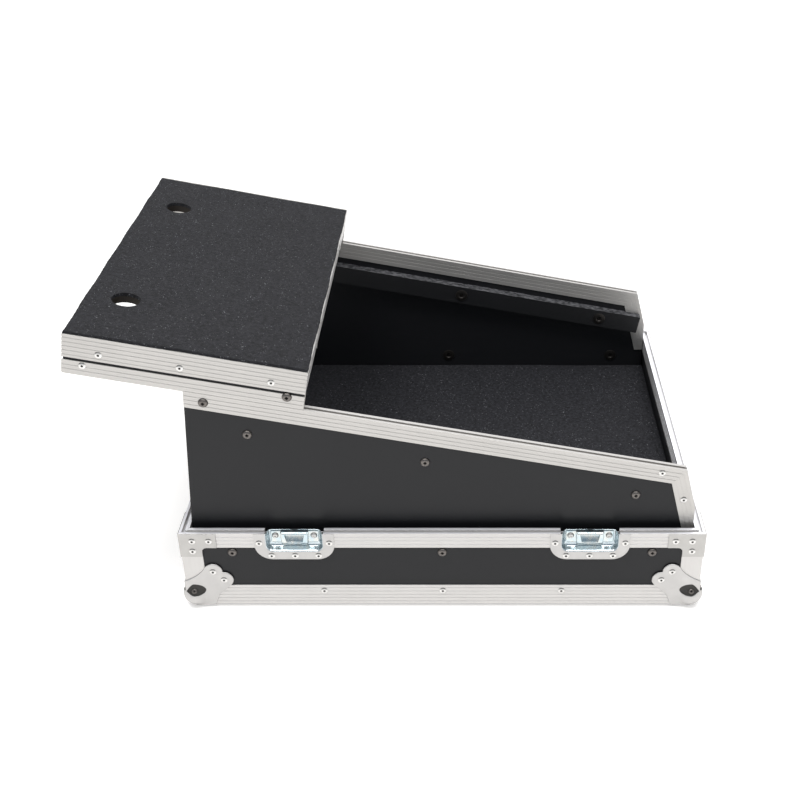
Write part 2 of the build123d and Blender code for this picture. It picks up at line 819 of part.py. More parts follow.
# Side boards of the tray, standing in the channel of the lower edging
with BuildPart() as tray_side:
    with BuildSketch(SLOPE.offset(band_low + skin)):
        with Locations(((tray_rear + tray_front) / 2, side_out)):
            Rectangle(tray_length - 2 * skin, ply, align=(Align.CENTER, Align.MAX))
    extrude(amount=board_low - band_low - skin)
    drill(on_slope(shoe_screw_run, side_out, shoe_screw_rise), screw_hole / 2, ply)
save(tray_side.part, "tray_side_right")
save(mirrored(tray_side.part, Plane.XZ), "tray_side_left")

# Strips under the tray's front and rear edges, behind the upper edging
with BuildPart() as tray_aprons:
    with BuildSketch(SLOPE.offset(board_low)):
        with Locations((tray_front - skin, 0)):
            Rectangle(ply, rack_clear, align=(Align.MAX, Align.CENTER))
        with Locations((tray_rear + skin, 0)):
            Rectangle(ply, rack_clear, align=(Align.MIN, Align.CENTER))
    extrude(amount=-apron_height)
save(tray_aprons.part, "tray_aprons")

# Upper edging of the tray, mitred all round
for side in ALL_SIDES:
    run = tray_length if side in SIDES else 2 * tray_half
    trim_plane = edge_plane(TRAY, side, tray_length / 2, tray_half, board_top)
    save(mitred_bar(trim_plane, run, tray_angle_section), f"tray_trim_{side}")

# Lower edging of the tray: a channel with a tongue that rides in the rail's groove
with BuildPart() as tray_rail:
    with BuildSketch(
        Plane(origin=on_slope(tray_rear, side_out, band_low), x_dir=(0, 1, 0), z_dir=SLOPE.x_dir)
    ):
        tray_rail_section()
    extrude(amount=tray_length)
    drill(on_slope(shoe_screw_run, tray_half, shoe_screw_rise), screw_hole / 2, 2 * ply)
save(tray_rail.part, "tray_rail_right")
save(mirrored(tray_rail.part, Plane.XZ), "tray_rail_left")

# Glide shoes: screwed inside the tray's front, hooked under the inner leg of the rail
with BuildPart() as glide_shoes:
    with BuildSketch(
        Plane(origin=on_slope(shoe_rear_x, 0, 0), x_dir=(0, 1, 0), z_dir=SLOPE.x_dir)
    ):
        with BuildLine():
            Polyline(
                (rail_in, shoe_rise),
                (rail_in, band_low),
                (rail_in - running_gap, band_low),
                (rail_in - running_gap, -cap_inner_leg - running_gap),
                (rail_in + skin - running_gap, -cap_inner_leg - running_gap),
                (rail_in + skin - running_gap, -hook_drop),
                (rail_in - shoe_thick, -hook_drop),
                (rail_in - shoe_thick, shoe_rise),
                close=True,
            )
        make_face()
    extrude(amount=shoe_length)
    drill(on_slope(shoe_screw_run, rail_in, shoe_screw_rise), screw_hole / 2, shoe_thick)
    mirror(about=Plane.XZ)
save(glide_shoes.part, "glide_shoes")


# Bolts through wall, packing and rack side, and through rack side and batten
wall_bolt_planes = []
for x, z in wall_bolts:
    wall_bolt_planes += both_sides((x, half_width - skin, z))
batten_bolt_planes = [
    Plane(origin=(x, sign * side_out, z), z_dir=(0, sign, 0))
    for side, sign in SIDES.items()
    for x, z in batten_bolts(side)
]
with BuildPart() as rack_bolts:
    with BuildSketch(*wall_bolt_planes, *batten_bolt_planes):
        RegularPolygon(bolt_head / 2, drill_sides)
    extrude(amount=bolt_head_height, taper=bolt_head_taper)
    with BuildSketch(*wall_bolt_planes):
        RegularPolygon(bolt_shank / 2, drill_sides)
    extrude(amount=-(2 * ply + packing + nut_flange_height))
    with BuildSketch(*batten_bolt_planes):
        RegularPolygon(bolt_shank / 2, drill_sides)
    extrude(amount=-(ply + batten_thick + nut_flange_height))
save(rack_bolts.part, "rack_bolts")

# Flanged nuts that the bolts pull against
nut_planes = [
    Plane(origin=(x, sign * rack_clear / 2, z), z_dir=(0, -sign, 0))
    for sign in SIDES.values()
    for x, z in wall_bolts
]
nut_planes += [
    Plane(origin=(x, sign * (rack_clear / 2 - batten_thick), z), z_dir=(0, -sign, 0))
    for side, sign in SIDES.items()
    for x, z in batten_bolts(side)
]
with BuildPart() as flange_nuts:
    with BuildSketch(*nut_planes):
        RegularPolygon(nut_flange / 2, drill_sides)
        RegularPolygon(nut_bore / 2, drill_sides, mode=Mode.SUBTRACT)
    extrude(amount=nut_flange_height)
save(flange_nuts.part, "flange_nuts")

# Dark screws that hold the stop blocks, and the screws in the eyes of the ball corners
stop_screw_planes = both_sides(tuple(on_slope(stop_centre, tray_half, -stop_screw_drop)))
eye_planes = []
for eye in (SIDE_EYE, END_EYE):
    place = eye.origin + eye.z_dir * eye_floor
    eye_planes += four_ways(tuple(place), tuple(eye.z_dir))
with BuildPart() as case_screws:
    with BuildSketch(*stop_screw_planes):
        RegularPolygon(bolt_head / 2, drill_sides)
    extrude(amount=bolt_head_height, taper=bolt_head_taper)
    with BuildSketch(*stop_screw_planes):
        RegularPolygon(screw_shank / 2, drill_sides)
    extrude(amount=-(wall_in + skin + stop_thick))
    with BuildSketch(*eye_planes):
        RegularPolygon(eye_screw / 2, drill_sides)
    extrude(amount=eye_screw_height)
save(case_screws.part, "case_screws")

# Dark screws that hold the glide shoes
shoe_screw_planes = both_sides(tuple(on_slope(shoe_screw_run, tray_half, shoe_screw_rise)))
with BuildPart() as tray_screws:
    with BuildSketch(*shoe_screw_planes):
        RegularPolygon(bolt_head / 2, drill_sides)
    extrude(amount=bolt_head_height, taper=bolt_head_taper)
    with BuildSketch(*shoe_screw_planes):
        RegularPolygon(screw_shank / 2, drill_sides)
    extrude(amount=-(wall_in + skin + shoe_thick))
save(tray_screws.part, "tray_screws")
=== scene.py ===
"""Slant mixer flight case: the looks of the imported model.

Every object is in metres in the model's own frame: +X towards the low front of the case, +Y to its
right-hand side, +Z up. The sizes in the classes are millimetres; the maker turns them into metres.
"""

import logging
from dataclasses import dataclass, field
from enum import Enum
from typing import Any, Iterable

import bmesh
import bpy
import numpy as np
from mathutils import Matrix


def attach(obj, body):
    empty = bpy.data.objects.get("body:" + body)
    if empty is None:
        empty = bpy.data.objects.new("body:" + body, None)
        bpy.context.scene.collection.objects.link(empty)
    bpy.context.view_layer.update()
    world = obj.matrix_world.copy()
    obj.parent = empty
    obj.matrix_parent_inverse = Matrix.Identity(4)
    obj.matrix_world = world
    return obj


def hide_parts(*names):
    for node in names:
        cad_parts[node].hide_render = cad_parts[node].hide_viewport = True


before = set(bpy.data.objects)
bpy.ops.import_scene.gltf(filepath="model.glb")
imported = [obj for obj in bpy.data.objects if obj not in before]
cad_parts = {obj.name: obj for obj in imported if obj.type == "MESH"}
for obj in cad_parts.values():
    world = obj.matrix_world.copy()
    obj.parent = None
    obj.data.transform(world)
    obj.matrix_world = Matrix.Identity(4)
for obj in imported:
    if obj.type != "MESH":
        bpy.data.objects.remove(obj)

LOG = logging.getLogger("slant_case")
MM = 0.001
Array = np.ndarray
Pair = tuple[float, float]
Triple = tuple[float, float, float]


# Shader wiring


class Value:
    """One output of a shader node; Python's operators on it stand for Math nodes."""

    def __init__(self, wiring: "Wiring", socket: bpy.types.NodeSocket) -> None:
        """Keep the socket with the wiring that it belongs to."""
        self.wiring = wiring
        self.socket = socket

    def math(self, operation: str, *terms: Any) -> "Value":
        """The result of a Math node with this operation on these terms."""
        return self.wiring.node("ShaderNodeMath", {"operation": operation}, dict(enumerate(terms)))

    def __add__(self, other: Any) -> "Value":
        """This plus another."""
        return self.math("ADD", self, other)

    def __radd__(self, other: Any) -> "Value":
        """Another plus this."""
        return self.math("ADD", other, self)

    def __sub__(self, other: Any) -> "Value":
        """This less another."""
        return self.math("SUBTRACT", self, other)

    def __rsub__(self, other: Any) -> "Value":
        """Another less this."""
        return self.math("SUBTRACT", other, self)

    def __mul__(self, other: Any) -> "Value":
        """This times another."""
        return self.math("MULTIPLY", self, other)

    def __rmul__(self, other: Any) -> "Value":
        """Another times this."""
        return self.math("MULTIPLY", other, self)

    def __truediv__(self, other: Any) -> "Value":
        """This over another."""
        return self.math("DIVIDE", self, other)

    def __abs__(self) -> "Value":
        """This without its sign."""
        return self.math("ABSOLUTE", self)

    def __pow__(self, other: Any) -> "Value":
        """This to a power."""
        return self.math("POWER", self, other)

    def least(self, other: Any) -> "Value":
        """The smaller of this and another."""
        return self.math("MINIMUM", self, other)

    def most(self, other: Any) -> "Value":
        """The larger of this and another."""
        return self.math("MAXIMUM", self, other)

    def step(self, low: float, high: float) -> "Value":
        """A smooth rise from 0 to 1 between two values of this."""
        limits = {0: self, 1: low, 2: high, 3: 0.0, 4: 1.0}
        return self.wiring.node("ShaderNodeMapRange", {"interpolation_type": "SMOOTHSTEP"}, limits)


class Wiring:
    """The node tree of one material or of the surround."""

    def __init__(self, label: str, owner: Any = None) -> None:
        """Start an empty node tree.

        Args:
            label: name of the new material.
            owner: a material or surround whose tree is emptied instead.
        """
        self.material = owner or bpy.data.materials.new(label)
        self.material.use_nodes = True
        self.tree = self.material.node_tree
        self.tree.nodes.clear()

    @classmethod
    def of(cls, owner: Any) -> "Wiring":
        """The emptied node tree of an owner."""
        return cls(owner.name, owner)

    def node(
        self,
        kind: str,
        settings: dict[str, Any] | None = None,
        inputs: dict[Any, Any] | None = None,
        output: Any = 0,
    ) -> Value:
        """Add one node.

        Args:
            kind: Blender's name of the node type.
            settings: properties set first; "stops" are a ramp's places and colours.
            inputs: values or links, by the socket's number or name.
            output: number or name of the output that is wanted.

        Returns:
            That output.
        """
        made = self.tree.nodes.new(kind)
        for key, value in (settings or {}).items():
            if key == "stops":
                ramp = made.color_ramp.elements
                while len(ramp) < len(value):
                    ramp.new(0.5)
                for element, (place, colour) in zip(ramp, value):
                    element.position = place
                    element.color = (*colour, 1.0)
            else:
                setattr(made, key, value)
        for key, value in (inputs or {}).items():
            socket = made.inputs[key]
            if isinstance(value, Value):
                self.tree.links.new(value.socket, socket)
            elif isinstance(value, tuple) and socket.type == "RGBA":
                socket.default_value = (*value, 1.0)
            else:
                socket.default_value = value
        end = made.outputs[output] if len(made.outputs) else made.inputs[0]
        return Value(self, end)

    def place(self) -> Value:
        """Coordinates that stay with the object, in metres."""
        return self.node("ShaderNodeTexCoord", output="Object")

    def facing(self) -> Value:
        """The surface's direction in the object's own frame."""
        return self.node("ShaderNodeTexCoord", output="Normal")

    def painted(self, name: str) -> Value:
        """A number stored in the mesh at each point."""
        return self.node("ShaderNodeAttribute", {"attribute_name": name}, output="Fac")

    def dot(self, vector: Value, direction: Triple) -> Value:
        """Part of a vector that lies along a direction."""
        return self.node(
            "ShaderNodeVectorMath", {"operation": "DOT_PRODUCT"}, {0: vector, 1: direction}, "Value"
        )

    def noise(self, vector: Value, grain: float, detail: float = 2.0, rough: float = 0.5) -> Value:
        """Soft random pattern.

        Args:
            vector: coordinates in metres.
            grain: size of its features in millimetres.
            detail: how many finer layers it has.
            rough: strength of the finer layers.

        Returns:
            A number from 0 to 1.
        """
        return self.node(
            "ShaderNodeTexNoise",
            None,
            {"Vector": vector, "Scale": 1 / (grain * MM), "Detail": detail, "Roughness": rough},
            "Fac",
        )

    def streaks(
        self,
        vector: Value,
        run: "Run",
        keep: float,
        grain: float,
        detail: float = 2.0,
        rough: float = 0.5,
    ) -> Value:
        """Soft random pattern drawn out along a run: noise on coordinates squeezed that way.

        Args:
            vector: coordinates in metres.
            run: the way that the streaks lie.
            keep: share of the distance along the run that is left.
            grain: width of a streak in millimetres.
            detail: how many finer layers it has.
            rough: strength of the finer layers.

        Returns:
            A number from 0 to 1.
        """
        drawn = self.dot(vector, run.value) * (1 - keep)
        shift = self.node("ShaderNodeVectorMath", {"operation": "SCALE"}, {0: run.value, 3: drawn})
        terms = {0: vector, 1: shift}
        squeezed = self.node("ShaderNodeVectorMath", {"operation": "SUBTRACT"}, terms)
        return self.noise(squeezed, grain, detail, rough)

    def cells(self, vector: Value, grain: float) -> Value:
        """Distance from the middle of random cells of a size in millimetres."""
        return self.node(
            "ShaderNodeTexVoronoi", None, {"Vector": vector, "Scale": 1 / (grain * MM)}, "Distance"
        )

    def blend(self, factor: Any, first: Any, second: Any) -> Value:
        """A colour that turns from the first to the second as the factor goes from 0 to 1."""
        terms = {0: factor, 6: first, 7: second}
        return self.node("ShaderNodeMix", {"data_type": "RGBA"}, terms, 2)

    def relief(self, height: Value, depth: float, under: Value | None = None) -> Value:
        """Bump the surface.

        Args:
            height: how high it stands, from 0 to 1.
            depth: the full height in millimetres.
            under: a direction that is already bumped.

        Returns:
            The surface's new direction.
        """
        inputs: dict[Any, Any] = {"Height": height, "Distance": depth * MM, "Strength": 1.0}
        if under is not None:
            inputs["Normal"] = under
        return self.node("ShaderNodeBump", None, inputs)

    def surface(self, **looks: Any) -> bpy.types.Material:
        """Close the tree with one shader.

        Args:
            looks: values or links of its sockets, named with underscores for blanks.

        Returns:
            The material.
        """
        inputs = {key.replace("_", " "): value for key, value in looks.items()}
        shader = self.node("ShaderNodeBsdfPrincipled", None, inputs)
        self.node("ShaderNodeOutputMaterial", None, {"Surface": shader})
        return self.material


# Finishes


SLOPE_DIR: Triple = (0.98284, 0.0, -0.18446)
SLOPE_UP: Triple = (0.18446, 0.0, 0.98284)
POST_DIR: Triple = (0.2561, 0.0, -0.9667)


class Run(Enum):
    """Direction in which an extrusion or a board's grain runs."""

    LENGTH = (1.0, 0.0, 0.0)
    WIDTH = (0.0, 1.0, 0.0)
    UPRIGHT = (0.0, 0.0, 1.0)
    SLOPE = SLOPE_DIR
    RISE = SLOPE_UP
    POST = POST_DIR


def scaled(tone: Triple, factor: float) -> Triple:
    """A colour times a factor."""
    return tuple(factor * part for part in tone)


@dataclass(frozen=True)
class Laminate:
    """Plywood faced with a black satin laminate; its sawn edges show stained layers."""

    label: str
    thin: Run
    face: Triple = (0.0096, 0.0098, 0.0112)
    rubbed_face: Triple = (0.016, 0.0158, 0.0165)
    sawn: Triple = (0.012, 0.0095, 0.0075)
    roughness: float = 0.34
    sawn_roughness: float = 0.75
    sheen: float = 0.25
    layers_per_metre: float = 180.0

    def build(self) -> bpy.types.Material:
        """Make a fine pebble grain on the faces and layers on the sawn edges.

        Returns:
            The material.
        """
        w = Wiring(self.label)
        place = w.place()
        flat = abs(w.dot(w.facing(), self.thin.value)).step(0.6, 0.8)
        cloud = w.noise(place, grain=90.0, detail=3.0)
        pebble = w.noise(place, grain=0.9, detail=3.0, rough=0.6)
        rubbed = w.streaks(place, Run.LENGTH, keep=0.1, grain=14.0, detail=4.0, rough=0.7)
        rubbed = rubbed.step(0.56, 0.8)
        depth = w.node("ShaderNodeCombineXYZ", None, {0: w.dot(place, self.thin.value)})
        layers = w.node(
            "ShaderNodeTexWave",
            {"wave_type": "BANDS", "bands_direction": "X"},
            {"Vector": depth, "Scale": self.layers_per_metre, "Distortion": 0.6, "Detail": 1.0},
            "Fac",
        )
        grey = w.blend(rubbed * 0.3, self.face, self.rubbed_face)
        edge = w.blend(layers, self.sawn, scaled(self.sawn, 1.9))
        rough = self.roughness + 0.10 * (cloud - 0.5) + 0.12 * rubbed + 0.05 * pebble
        return w.surface(
            Base_Color=w.blend(flat, edge, grey),
            Specular_IOR_Level=self.sheen,
            Roughness=rough * flat + (1 - flat) * self.sawn_roughness,
            Normal=w.relief(pebble * flat + layers * (1 - flat) * 2.0, depth=0.025),
        )


@dataclass(frozen=True)
class StainedWood:
    """Solid wood or sawn ply stained matt black, its grain drawn out along the piece."""

    label: str
    grain: Run
    tone: Triple = (0.0038, 0.0039, 0.0046)
    # Colour of the painted highlight that lightens the top faces.
    rubbed: Triple = (0.15, 0.15, 0.16)
    roughness: float = 0.55
    sheen: float = 0.35
    # Strength of the painted highlight on the top faces; 0 leaves it out.
    painted_top_highlight: float = 0.0

    def build(self) -> bpy.types.Material:
        """Make long wood fibres, an uneven stain and, if asked, a painted highlight on the top in
        patches.

        Returns:
            The material.
        """
        w = Wiring(self.label)
        place = w.place()
        fibre = w.streaks(place, self.grain, keep=0.03, grain=0.8, detail=4.0, rough=0.65)
        cloud = w.noise(place, grain=40.0, detail=3.0)
        stain = w.blend(fibre * 0.6 + cloud * 0.4, self.tone, scaled(self.tone, 1.9))
        # Painted highlight: the upward faces are lightened in patches, as if lit from above.
        if self.painted_top_highlight:
            patches = w.streaks(place, self.grain, keep=0.4, grain=2.6, detail=3.0, rough=0.7)
            patches = patches.step(0.4, 0.62)
            top = w.dot(w.facing(), SLOPE_UP).step(0.6, 0.9)
            stain = w.blend(top * patches * self.painted_top_highlight, stain, self.rubbed)
        return w.surface(
            Base_Color=stain,
            Specular_IOR_Level=self.sheen,
            Roughness=self.roughness + 0.2 * (fibre - 0.5),
            Normal=w.relief(fibre, depth=0.06),
        )


@dataclass(frozen=True)
class Extrusion:
    """Aluminium as it leaves the die: pale, with drawn lines along the run and handling marks."""

    label: str
    run: Run
    tone: Triple = (0.565, 0.55, 0.535)
    mark: Triple = (0.50, 0.49, 0.47)
    # Colour of the painted highlight on the top faces.
    rubbed: Triple = (0.9, 0.9, 0.93)
    metal: float = 0.66
    roughness: float = 0.36
    # Strength of the painted highlight on the upward faces; 0 leaves it out.
    painted_top_highlight: float = 0.0

    def build(self) -> bpy.types.Material:
        """Make die lines, cloudy patches, faint marks and, if asked, a painted highlight on the
        top.

        Returns:
            The material.
        """
        w = Wiring(self.label)
        place = w.place()
        lines = w.streaks(place, self.run, keep=0.012, grain=0.55, detail=3.0, rough=0.6)
        bands = w.streaks(place, self.run, keep=0.02, grain=3.2)
        cloud = w.noise(place, grain=35.0, detail=4.0, rough=0.6)
        marks = w.noise(place, grain=2.6, detail=5.0, rough=0.75).step(0.62, 0.78)
        colour = w.blend(bands * 0.55 + cloud * 0.35, self.tone, scaled(self.tone, 0.84))
        colour = w.blend(marks * 0.35, colour, self.mark)
        # Painted highlight: upward faces are blended towards a pale colour, as if lit from above.
        if self.painted_top_highlight:
            top = w.dot(w.facing(), Run.UPRIGHT.value).step(0.7, 0.9)
            colour = w.blend(top * self.painted_top_highlight, colour, self.rubbed)
        return w.surface(
            Base_Color=colour,
            Metallic=self.metal,
            Roughness=self.roughness + 0.16 * (lines - 0.5) + 0.12 * (cloud - 0.5) + 0.10 * marks,
            Normal=w.relief(lines, depth=0.012, under=w.relief(cloud, depth=0.25)),
        )


@dataclass(frozen=True)
class PressedZinc:
    """Zinc plated steel sheet, satin and finely frosted; a bowl can be glossy, and an eye can carry
    painted shade.
    """

    label: str
    tone: Triple = (0.505, 0.495, 0.485)
    rub: Triple = (0.45, 0.45, 0.44)
    bright: Triple = (0.53, 0.6, 0.625)
    tint: Triple = (0.46, 0.53, 0.57)
    # Colour of the painted shade in the eye, a recess round a screw.
    eye: Triple = (0.035, 0.033, 0.03)
    metal: float = 0.92
    roughness: float = 0.44
    eye_painted_shade: bool = False
    bright_bowl: bool = False

    def build(self) -> bpy.types.Material:
        """Make a frosted grain, soft patches and small rubs, with the bowl, or the eye's painted
        shade, if asked.

        Returns:
            The material.
        """
        w = Wiring(self.label)
        place = w.place()
        frost = w.noise(place, grain=0.35, detail=3.0, rough=0.7)
        cloud = w.noise(place, grain=16.0, detail=4.0, rough=0.6)
        rubs = w.noise(place, grain=1.7, detail=5.0, rough=0.8).step(0.63, 0.76)
        colour = w.blend(cloud, self.tone, scaled(self.tone, 0.86))
        colour = w.blend(rubs * 0.25, colour, self.rub)
        rough = self.roughness + 0.14 * (cloud - 0.5) + 0.08 * rubs + 0.08 * (frost - 0.5)
        relief = w.relief(frost, depth=0.018, under=w.relief(cloud, depth=0.12))
        metal: Any = self.metal
        if self.bright_bowl:
            bowl = w.painted("bowl")
            drift = w.noise(place, grain=9.0).step(0.35, 0.65)
            colour = w.blend(bowl, colour, w.blend(drift, self.bright, self.tint))
            rough = rough * (1 - bowl) + bowl * (0.17 + 0.10 * cloud)
        # Painted shade: the eye's recess is coloured near black and made less metallic.
        if self.eye_painted_shade:
            eye = w.painted("eye")
            colour = w.blend(eye, colour, self.eye)
            rough = rough * (1 - eye) + eye * 0.6
            metal = self.metal - 0.6 * eye
        return w.surface(Base_Color=colour, Metallic=metal, Roughness=rough, Normal=relief)


@dataclass(frozen=True)
class BrightZinc:
    """Bright zinc plate with the faint blue and straw tints of its passivation."""

    label: str
    cool: Triple = (0.47, 0.57, 0.61)
    warm: Triple = (0.62, 0.63, 0.6)
    metal: float = 0.97
    roughness: float = 0.2

    def build(self) -> bpy.types.Material:
        """Make drifting tints, fine pits and press marks.

        Returns:
            The material.
        """
        w = Wiring(self.label)
        place = w.place()
        drift = w.noise(place, grain=7.0, detail=3.0).step(0.3, 0.7)
        pits = w.noise(place, grain=0.7, detail=4.0, rough=0.7)
        pressed = w.relief(w.noise(place, grain=5.0), depth=0.1)
        return w.surface(
            Base_Color=w.blend(drift, self.cool, self.warm),
            Metallic=self.metal,
            Roughness=self.roughness + 0.14 * (pits - 0.5) + 0.08 * drift,
            Normal=w.relief(pits, depth=0.01, under=pressed),
        )


@dataclass(frozen=True)
class CellFoam:
    """Black closed cell foam: a dull grainy skin with fine light specks."""

    label: str
    tone: Triple = (0.0098, 0.0098, 0.0118)
    dust: Triple = (0.03, 0.03, 0.033)
    speck: Triple = (0.3, 0.3, 0.32)
    sheen: float = 0.22

    def build(self) -> bpy.types.Material:
        """Make small cells, scattered specks and soft wear.

        Returns:
            The material.
        """
        w = Wiring(self.label)
        place = w.place()
        cells = w.cells(place, grain=1.9)
        grain = w.noise(place, grain=1.7, detail=4.0, rough=0.75).step(0.3, 0.7)
        cloud = w.noise(place, grain=55.0, detail=4.0, rough=0.6)
        mottle = w.noise(place, grain=4.5, detail=2.0, rough=0.6).step(0.25, 0.75)
        specks = w.noise(place, grain=1.6, detail=1.0).step(0.7, 0.75)
        specks = specks * w.noise(place, grain=12.0).step(0.3, 0.6)
        dark, light = scaled(self.tone, 0.1), scaled(self.tone, 2.2)
        skin = w.blend(grain * 0.4 + mottle * 0.6, dark, light)
        skin = w.blend(cloud.step(0.5, 0.8) * 0.2, skin, self.dust)
        return w.surface(
            Base_Color=w.blend(specks * 0.8, skin, self.speck),
            Specular_IOR_Level=self.sheen,
            Roughness=0.72 + 0.2 * grain,
            Normal=w.relief(cells * 0.6 + grain, depth=0.4),
        )


@dataclass(frozen=True)
class DarkSteel:
    """Blackened steel of bolts and nuts, worn to brown and grey on the crown."""

    label: str
    tone: Triple = (0.03, 0.027, 0.025)
    worn: Triple = (0.17, 0.155, 0.145)
    metal: float = 0.9
    roughness: float = 0.42

    def build(self) -> bpy.types.Material:
        """Make a crown rubbed bright and a recess that stays dark.

        Returns:
            The material.
        """
        w = Wiring(self.label)
        place = w.place()
        crown = w.painted("crown")
        rub = w.noise(place, grain=1.6, detail=4.0, rough=0.7)
        pits = w.noise(place, grain=0.5, detail=3.0, rough=0.7)
        shown = (crown * (0.35 + 0.9 * rub)).least(1.0)
        return w.surface(
            Base_Color=w.blend(shown, self.tone, self.worn),
            Metallic=self.metal,
            Roughness=self.roughness - 0.12 * shown + 0.12 * (pits - 0.5),
            Normal=w.relief(pits, depth=0.03),
        )


@dataclass(frozen=True)
class RivetMetal:
    """Aluminium blind rivet: bright dome with painted shade in its hollow, upper flank and edge."""

    label: str
    tone: Triple = (0.72, 0.71, 0.69)
    # Colour of the painted shade.
    pit: Triple = (0.05, 0.045, 0.04)
    metal: float = 0.92
    roughness: float = 0.27

    def build(self) -> bpy.types.Material:
        """Make a dome with painted shade in its hollow, on its upper flank and at the head's edge.

        Returns:
            The material.
        """
        w = Wiring(self.label)
        place = w.place()
        # Painted shade: dark in the hollow, on the upper flank and at the head's edge.
        pit = w.painted("pit")
        rub = w.noise(place, grain=0.9, detail=4.0, rough=0.7)
        colour = w.blend(rub * 0.5, self.tone, scaled(self.tone, 0.72))
        return w.surface(
            Base_Color=w.blend(pit, colour, self.pit),
            Metallic=self.metal,
            Roughness=self.roughness + 0.15 * rub + 0.3 * pit,
            Normal=w.relief(rub, depth=0.03),
        )


@dataclass(frozen=True)
class SlipPlastic:
    """Slippery black plastic of glide shoes and stop blocks, rubbed grey along the slide."""

    label: str
    tone: Triple = (0.012, 0.012, 0.013)
    rubbed: Triple = (0.05, 0.05, 0.052)
    roughness: float = 0.44

    def build(self) -> bpy.types.Material:
        """Make a moulded grain and long rubs along the slope.

        Returns:
            The material.
        """
        w = Wiring(self.label)
        place = w.place()
        rubs = w.streaks(place, Run.SLOPE, keep=0.04, grain=1.2, detail=4.0, rough=0.7)
        rubs = rubs.step(0.52, 0.78)
        grain = w.noise(place, grain=0.5, detail=3.0, rough=0.7)
        return w.surface(
            Base_Color=w.blend(rubs * 0.5, self.tone, self.rubbed),
            Roughness=self.roughness + 0.2 * rubs + 0.1 * (grain - 0.5),
            Normal=w.relief(grain, depth=0.04),
        )


@dataclass(frozen=True)
class PaperSweep:
    """The pale floor that the case stands on."""

    label: str = "pale_floor"
    tone: Triple = (0.9, 0.885, 0.87)
    fibre: Triple = (0.8, 0.8, 0.8)
    roughness: float = 0.9
    glow_tone: Triple = (1.0, 0.985, 0.97)
    glow: float = 0.32

    def build(self) -> bpy.types.Material:
        """Make matt paper with barely visible fibre that glows a little, as if lit from below.

        Returns:
            The material.
        """
        w = Wiring(self.label)
        fibre = w.noise(w.place(), grain=3.0)
        return w.surface(
            Base_Color=w.blend(fibre * 0.04, self.tone, self.fibre),
            Roughness=self.roughness + 0.05 * fibre,
            Emission_Color=self.glow_tone,
            Emission_Strength=self.glow,
        )


# Meshes worked out as arrays


def grid_faces(rows: int, columns: int, wrap: bool = False) -> Array:
    """Quads of a grid: each joins (i, j), (i, j + 1), (i + 1, j + 1) and (i + 1, j).

    Args:
        rows: points one way.
        columns: points the other way.
        wrap: whether the last column joins the first.

    Returns:
        Four point numbers for each quad.
    """
    i, j = np.meshgrid(np.arange(rows - 1), np.arange(columns - (not wrap)), indexing="ij")
    k = (j + 1) % columns
    return np.stack(
        [i * columns + j, i * columns + k, (i + 1) * columns + k, (i + 1) * columns + j], -1
    ).reshape(-1, 4)


def rim_edges(faces: Array) -> Array:
    """The edges that belong to one quad only.

    Args:
        faces: quads.

    Returns:
        Two point numbers for each edge, in the direction in which its quad runs them.
    """
    edges = np.concatenate([faces[:, [0, 1]], faces[:, [1, 2]], faces[:, [2, 3]], faces[:, [3, 0]]])
    _, which, count = np.unique(np.sort(edges, 1), axis=0, return_inverse=True, return_counts=True)
    return edges[count[which.ravel()] == 1]


def slab(top: Array, bottom: Array, faces: Array) -> tuple[Array, Array]:
    """Close two surfaces of the same grid into a solid.

    Args:
        top: points of the upper surface.
        bottom: as many points, each below its own.
        faces: quads of the upper surface.

    Returns:
        Points and quads: both surfaces, and a wall below each edge that has one quad.
    """
    count = len(top)
    rim = rim_edges(faces)
    walls = np.stack([rim[:, 1], rim[:, 0], rim[:, 0] + count, rim[:, 1] + count], -1)
    return np.concatenate([top, bottom]), np.concatenate([faces, faces[:, ::-1] + count, walls])


def turned(profile: Array, segments: int, wave: Array | None = None) -> tuple[Array, Array]:
    """A profile turned round the z axis: (r cos a, r sin a, h) for every point (r, h) and angle a.

    Args:
        profile: radius and height of each point, from one pole to the other.
        segments: how many angles a full turn has.
        wave: factor on the radius for each point and angle.

    Returns:
        Points and quads.
    """
    angle = np.linspace(0, 2 * np.pi, segments, endpoint=False)
    radius = profile[:, :1] * (np.ones((1, segments)) if wave is None else wave)
    height = np.repeat(profile[:, 1:], segments, 1)
    points = np.stack([radius * np.cos(angle), radius * np.sin(angle), height], -1)
    return points.reshape(-1, 3), grid_faces(len(profile), segments, wrap=True)


def facing_frames(normals: Array) -> Array:
    """A frame for each direction.

    Args:
        normals: unit directions, none of them upright.

    Returns:
        Frames whose first row is level, whose second rises and whose third is the direction.
    """
    level = np.cross([0.0, 0.0, 1.0], normals)
    level /= np.linalg.norm(level, axis=1, keepdims=True)
    return np.stack([level, np.cross(normals, level), normals], 1)


def repeated(points: Array, faces: Array, places: Array, frames: Array) -> tuple[Array, Array]:
    """The same small mesh at many places: each point is place + point times frame, for all at once.

    Args:
        points: points of the small mesh.
        faces: its quads.
        places: where it stands.
        frames: its three axes at each place.

    Returns:
        Points and quads of all of them.
    """
    put = places[:, None, :] + np.einsum("pi,nij->npj", points, frames)
    step = np.arange(len(places))[:, None, None] * len(points)
    return put.reshape(-1, 3), (faces[None] + step).reshape(-1, 4)


def joined(*meshes: tuple[Array, Array]) -> tuple[Array, Array]:
    """Several meshes as one.

    Args:
        meshes: points and quads of each.

    Returns:
        Points and quads of all, in the same order.
    """
    starts = np.cumsum([0] + [len(points) for points, _ in meshes[:-1]])
    return (
        np.concatenate([points for points, _ in meshes]),
        np.concatenate([faces + start for (_, faces), start in zip(meshes, starts)]),
    )


def soft_step(value: Array, low: float, high: float) -> Array:
    """A smooth rise from 0 to 1 between two values: 3 t squared less 2 t cubed."""
    t = np.clip((value - low) / (high - low), 0, 1)
    return t * t * (3 - 2 * t)


